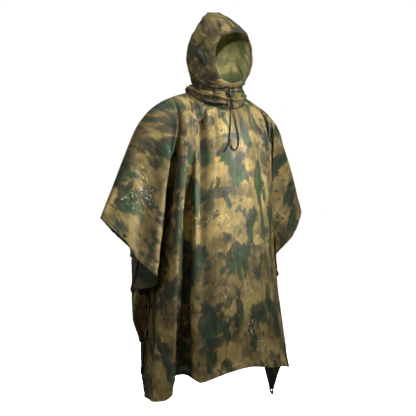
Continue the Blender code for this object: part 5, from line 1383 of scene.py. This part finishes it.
# ---------------------------------------------------------------- drawcord
bpy.context.view_layer.update()
tree = surface_of([sheets["front"], band])
EYELET = [(0.0023, 0.0010), (0.0026, 0.0015), (0.0033, 0.0017), (0.0041, 0.0013), (0.0047, 0.0006), (0.0047, 0.0001), (0.0023, 0.0001)]
exits, strands = {}, {}
for name, side in (("drawcord_right", -1), ("drawcord_left", 1)):
    run, w = EYELET_RUN[SIDE_NAME[side]], 0.0135
    z = RIM_MID - (RIM_HIGH + w) * math.sqrt(1 - (run / (RIM_HALF + w)) ** 2)
    sgn = math.copysign(1, run)
    seat = hood_frame(abs(run), z, sgn, CASING_LIFT - 0.0004)
    above = hood_frame(abs(run), z, sgn, CASING_LIFT + 0.0050)
    axis = (above - seat) / np.linalg.norm(above - seat)
    ob = lathe("ring_cord_eyelet_" + SIDE_NAME[side], [(EYELET, True)], METAL, stand(seat - axis * 0.0004, axis), 36)
    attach(ob, "root")
    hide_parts("cord_eyelet_" + SIDE_NAME[side])
    bore = [np.array(lock @ Vector((side * BORE_X, 0, h))) for h in (0.0215, 0.0130, -0.0130, -0.0175)]
    start = [seat + axis * 0.0006, seat + axis * 0.0065]
    strands[name] = smooth_way(start + bore + [in_front(tree, *row) for row in STRANDS[name]], 6)
    exits[name] = strands[name][0]
strands["drawcord_tail"] = smooth_way([in_front(tree, *row) for row in STRANDS["drawcord_tail"]])


def knot():
    """An overhand knot pulled tight: the cord's own turns round each other."""
    c = in_front(tree, KNOT_AT[0], KNOT_AT[2], 0.0062)
    t = np.linspace(0, 2 * math.pi, 150, endpoint=False)
    x = (np.sin(t) + 1.65 * np.sin(2 * t)) * 0.00145
    z = (np.cos(t) - 1.65 * np.cos(2 * t)) * 0.00185
    y = -np.sin(3 * t) * 0.00175
    way = np.stack([x, y, z], -1) @ np.array([[0.94, 0, -0.34], [0, 1, 0], [0.34, 0, 0.94]]) + c
    return tube("drawcord_overhand_knot", way, CORD_D / 2, CORD, 14, closed=True)


knot_piece = knot()
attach(knot_piece, "root")
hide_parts("drawcord_knot")
for name, way in strands.items():
    tail = name == "drawcord_tail"
    swell = (lambda q: 1 + 0.10 * float(ease(np.array(q), 0.93, 0.985))) if tail else None
    ob = tube(name + "_braid", way, CORD_D / 2, CORD, 16, swell)
    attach(ob, "root")
    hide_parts(name)


# ---------------------------------------------------------------- studio
world = bpy.data.worlds.new("studio")
scene.world = world
world.use_nodes = True
nt = world.node_tree
bg = nt.nodes["Background"]
bg.inputs["Color"].default_value = (1, 1, 1, 1)
bg.inputs["Strength"].default_value = 0.05
white = nt.nodes.new("ShaderNodeBackground")
white.inputs["Color"].default_value = (1, 1, 1, 1)
white.inputs["Strength"].default_value = 1.0
path = nt.nodes.new("ShaderNodeLightPath")
blend = nt.nodes.new("ShaderNodeMixShader")
nt.links.new(path.outputs["Is Camera Ray"], blend.inputs[0])
nt.links.new(bg.outputs[0], blend.inputs[1])
nt.links.new(white.outputs[0], blend.inputs[2])
nt.links.new(blend.outputs[0], nt.nodes["World Output"].inputs["Surface"])

RIGHT = Vector((math.cos(AZIMUTH), math.sin(AZIMUTH), 0))


def softbox(name, right, up, back, size, power, target=(0, 0, -0.45)):
    """An area light placed as seen by the camera: metres to its right, up, and towards it from the garment."""
    data = bpy.data.lights.new(name, "AREA")
    data.shape, data.size, data.size_y, data.energy = "RECTANGLE", size[0], size[1], power
    ob = bpy.data.objects.new(name, data)
    scene.collection.objects.link(ob)
    ob.location = RIGHT * right + Vector((0, 0, up)) - forward * back
    ob.rotation_euler = (Vector(target) - ob.location).to_track_quat("-Z", "Y").to_euler()
    return ob


def spot(name, right, up, back, target, wide, power, soft):
    data = bpy.data.lights.new(name, "SPOT")
    data.energy, data.spot_size, data.spot_blend, data.shadow_soft_size = power, math.radians(wide), 0.9, soft
    ob = bpy.data.objects.new(name, data)
    scene.collection.objects.link(ob)
    ob.location = RIGHT * right + Vector((0, 0, up)) - forward * back
    ob.rotation_euler = (Vector(target) - ob.location).to_track_quat("-Z", "Y").to_euler()
    return ob


def floor():
    """A plain pale floor, where the wearer would stand."""
    me = bpy.data.meshes.new("floor")
    n, r = 72, 9.0
    me.from_pydata([(r * math.cos(2 * math.pi * k / n), r * math.sin(2 * math.pi * k / n), -1.62) for k in range(n)], [], [tuple(range(n))])
    ob = bpy.data.objects.new("floor", me)
    scene.collection.objects.link(ob)
    sh = Shader("pale_floor")
    grain = sh.noise(sh.node("ShaderNodeTexCoord").outputs["Object"], 30.0, 3, 0.5, kind="3D")
    me.materials.append(sh.finish(Base_Color=sh.mix(grain, (0.80, 0.80, 0.80), (0.84, 0.84, 0.84)), Roughness=0.9,
                                  Emission_Color=(1.0, 1.0, 1.0), Emission_Strength=1.1))
    ob.visible_diffuse = ob.visible_glossy = ob.visible_transmission = ob.visible_shadow = False


floor()
softbox("key", 3.0, 1.3, 1.3, (0.9, 1.1), 77)
softbox("fill", -1.9, 0.3, 2.4, (1.2, 1.2), 29)
softbox("top", -0.2, 2.4, 0.5, (1.2, 0.9), 48)
softbox("back", 0.0, -0.3, -3.2, (1.1, 0.9), 110)          # hidden behind the garment: it lights the back and nothing else
spot("hood_light", 0.06, 0.36, 2.4, (0.015, -0.09, 0.140), 5.6, 230, 0.10)      # into the face opening
spot("tail_light", -0.25, -1.40, 2.6, (0.330, 0.070, -1.165), 6.0, 60, 0.10)        # under the hem
spot("chest_light", 2.1, 0.75, 1.45, (-0.045, -0.20, -0.270), 14.0, 1150, 0.30)
scene.view_settings.view_transform = "Standard"
scene.view_settings.look = "None"
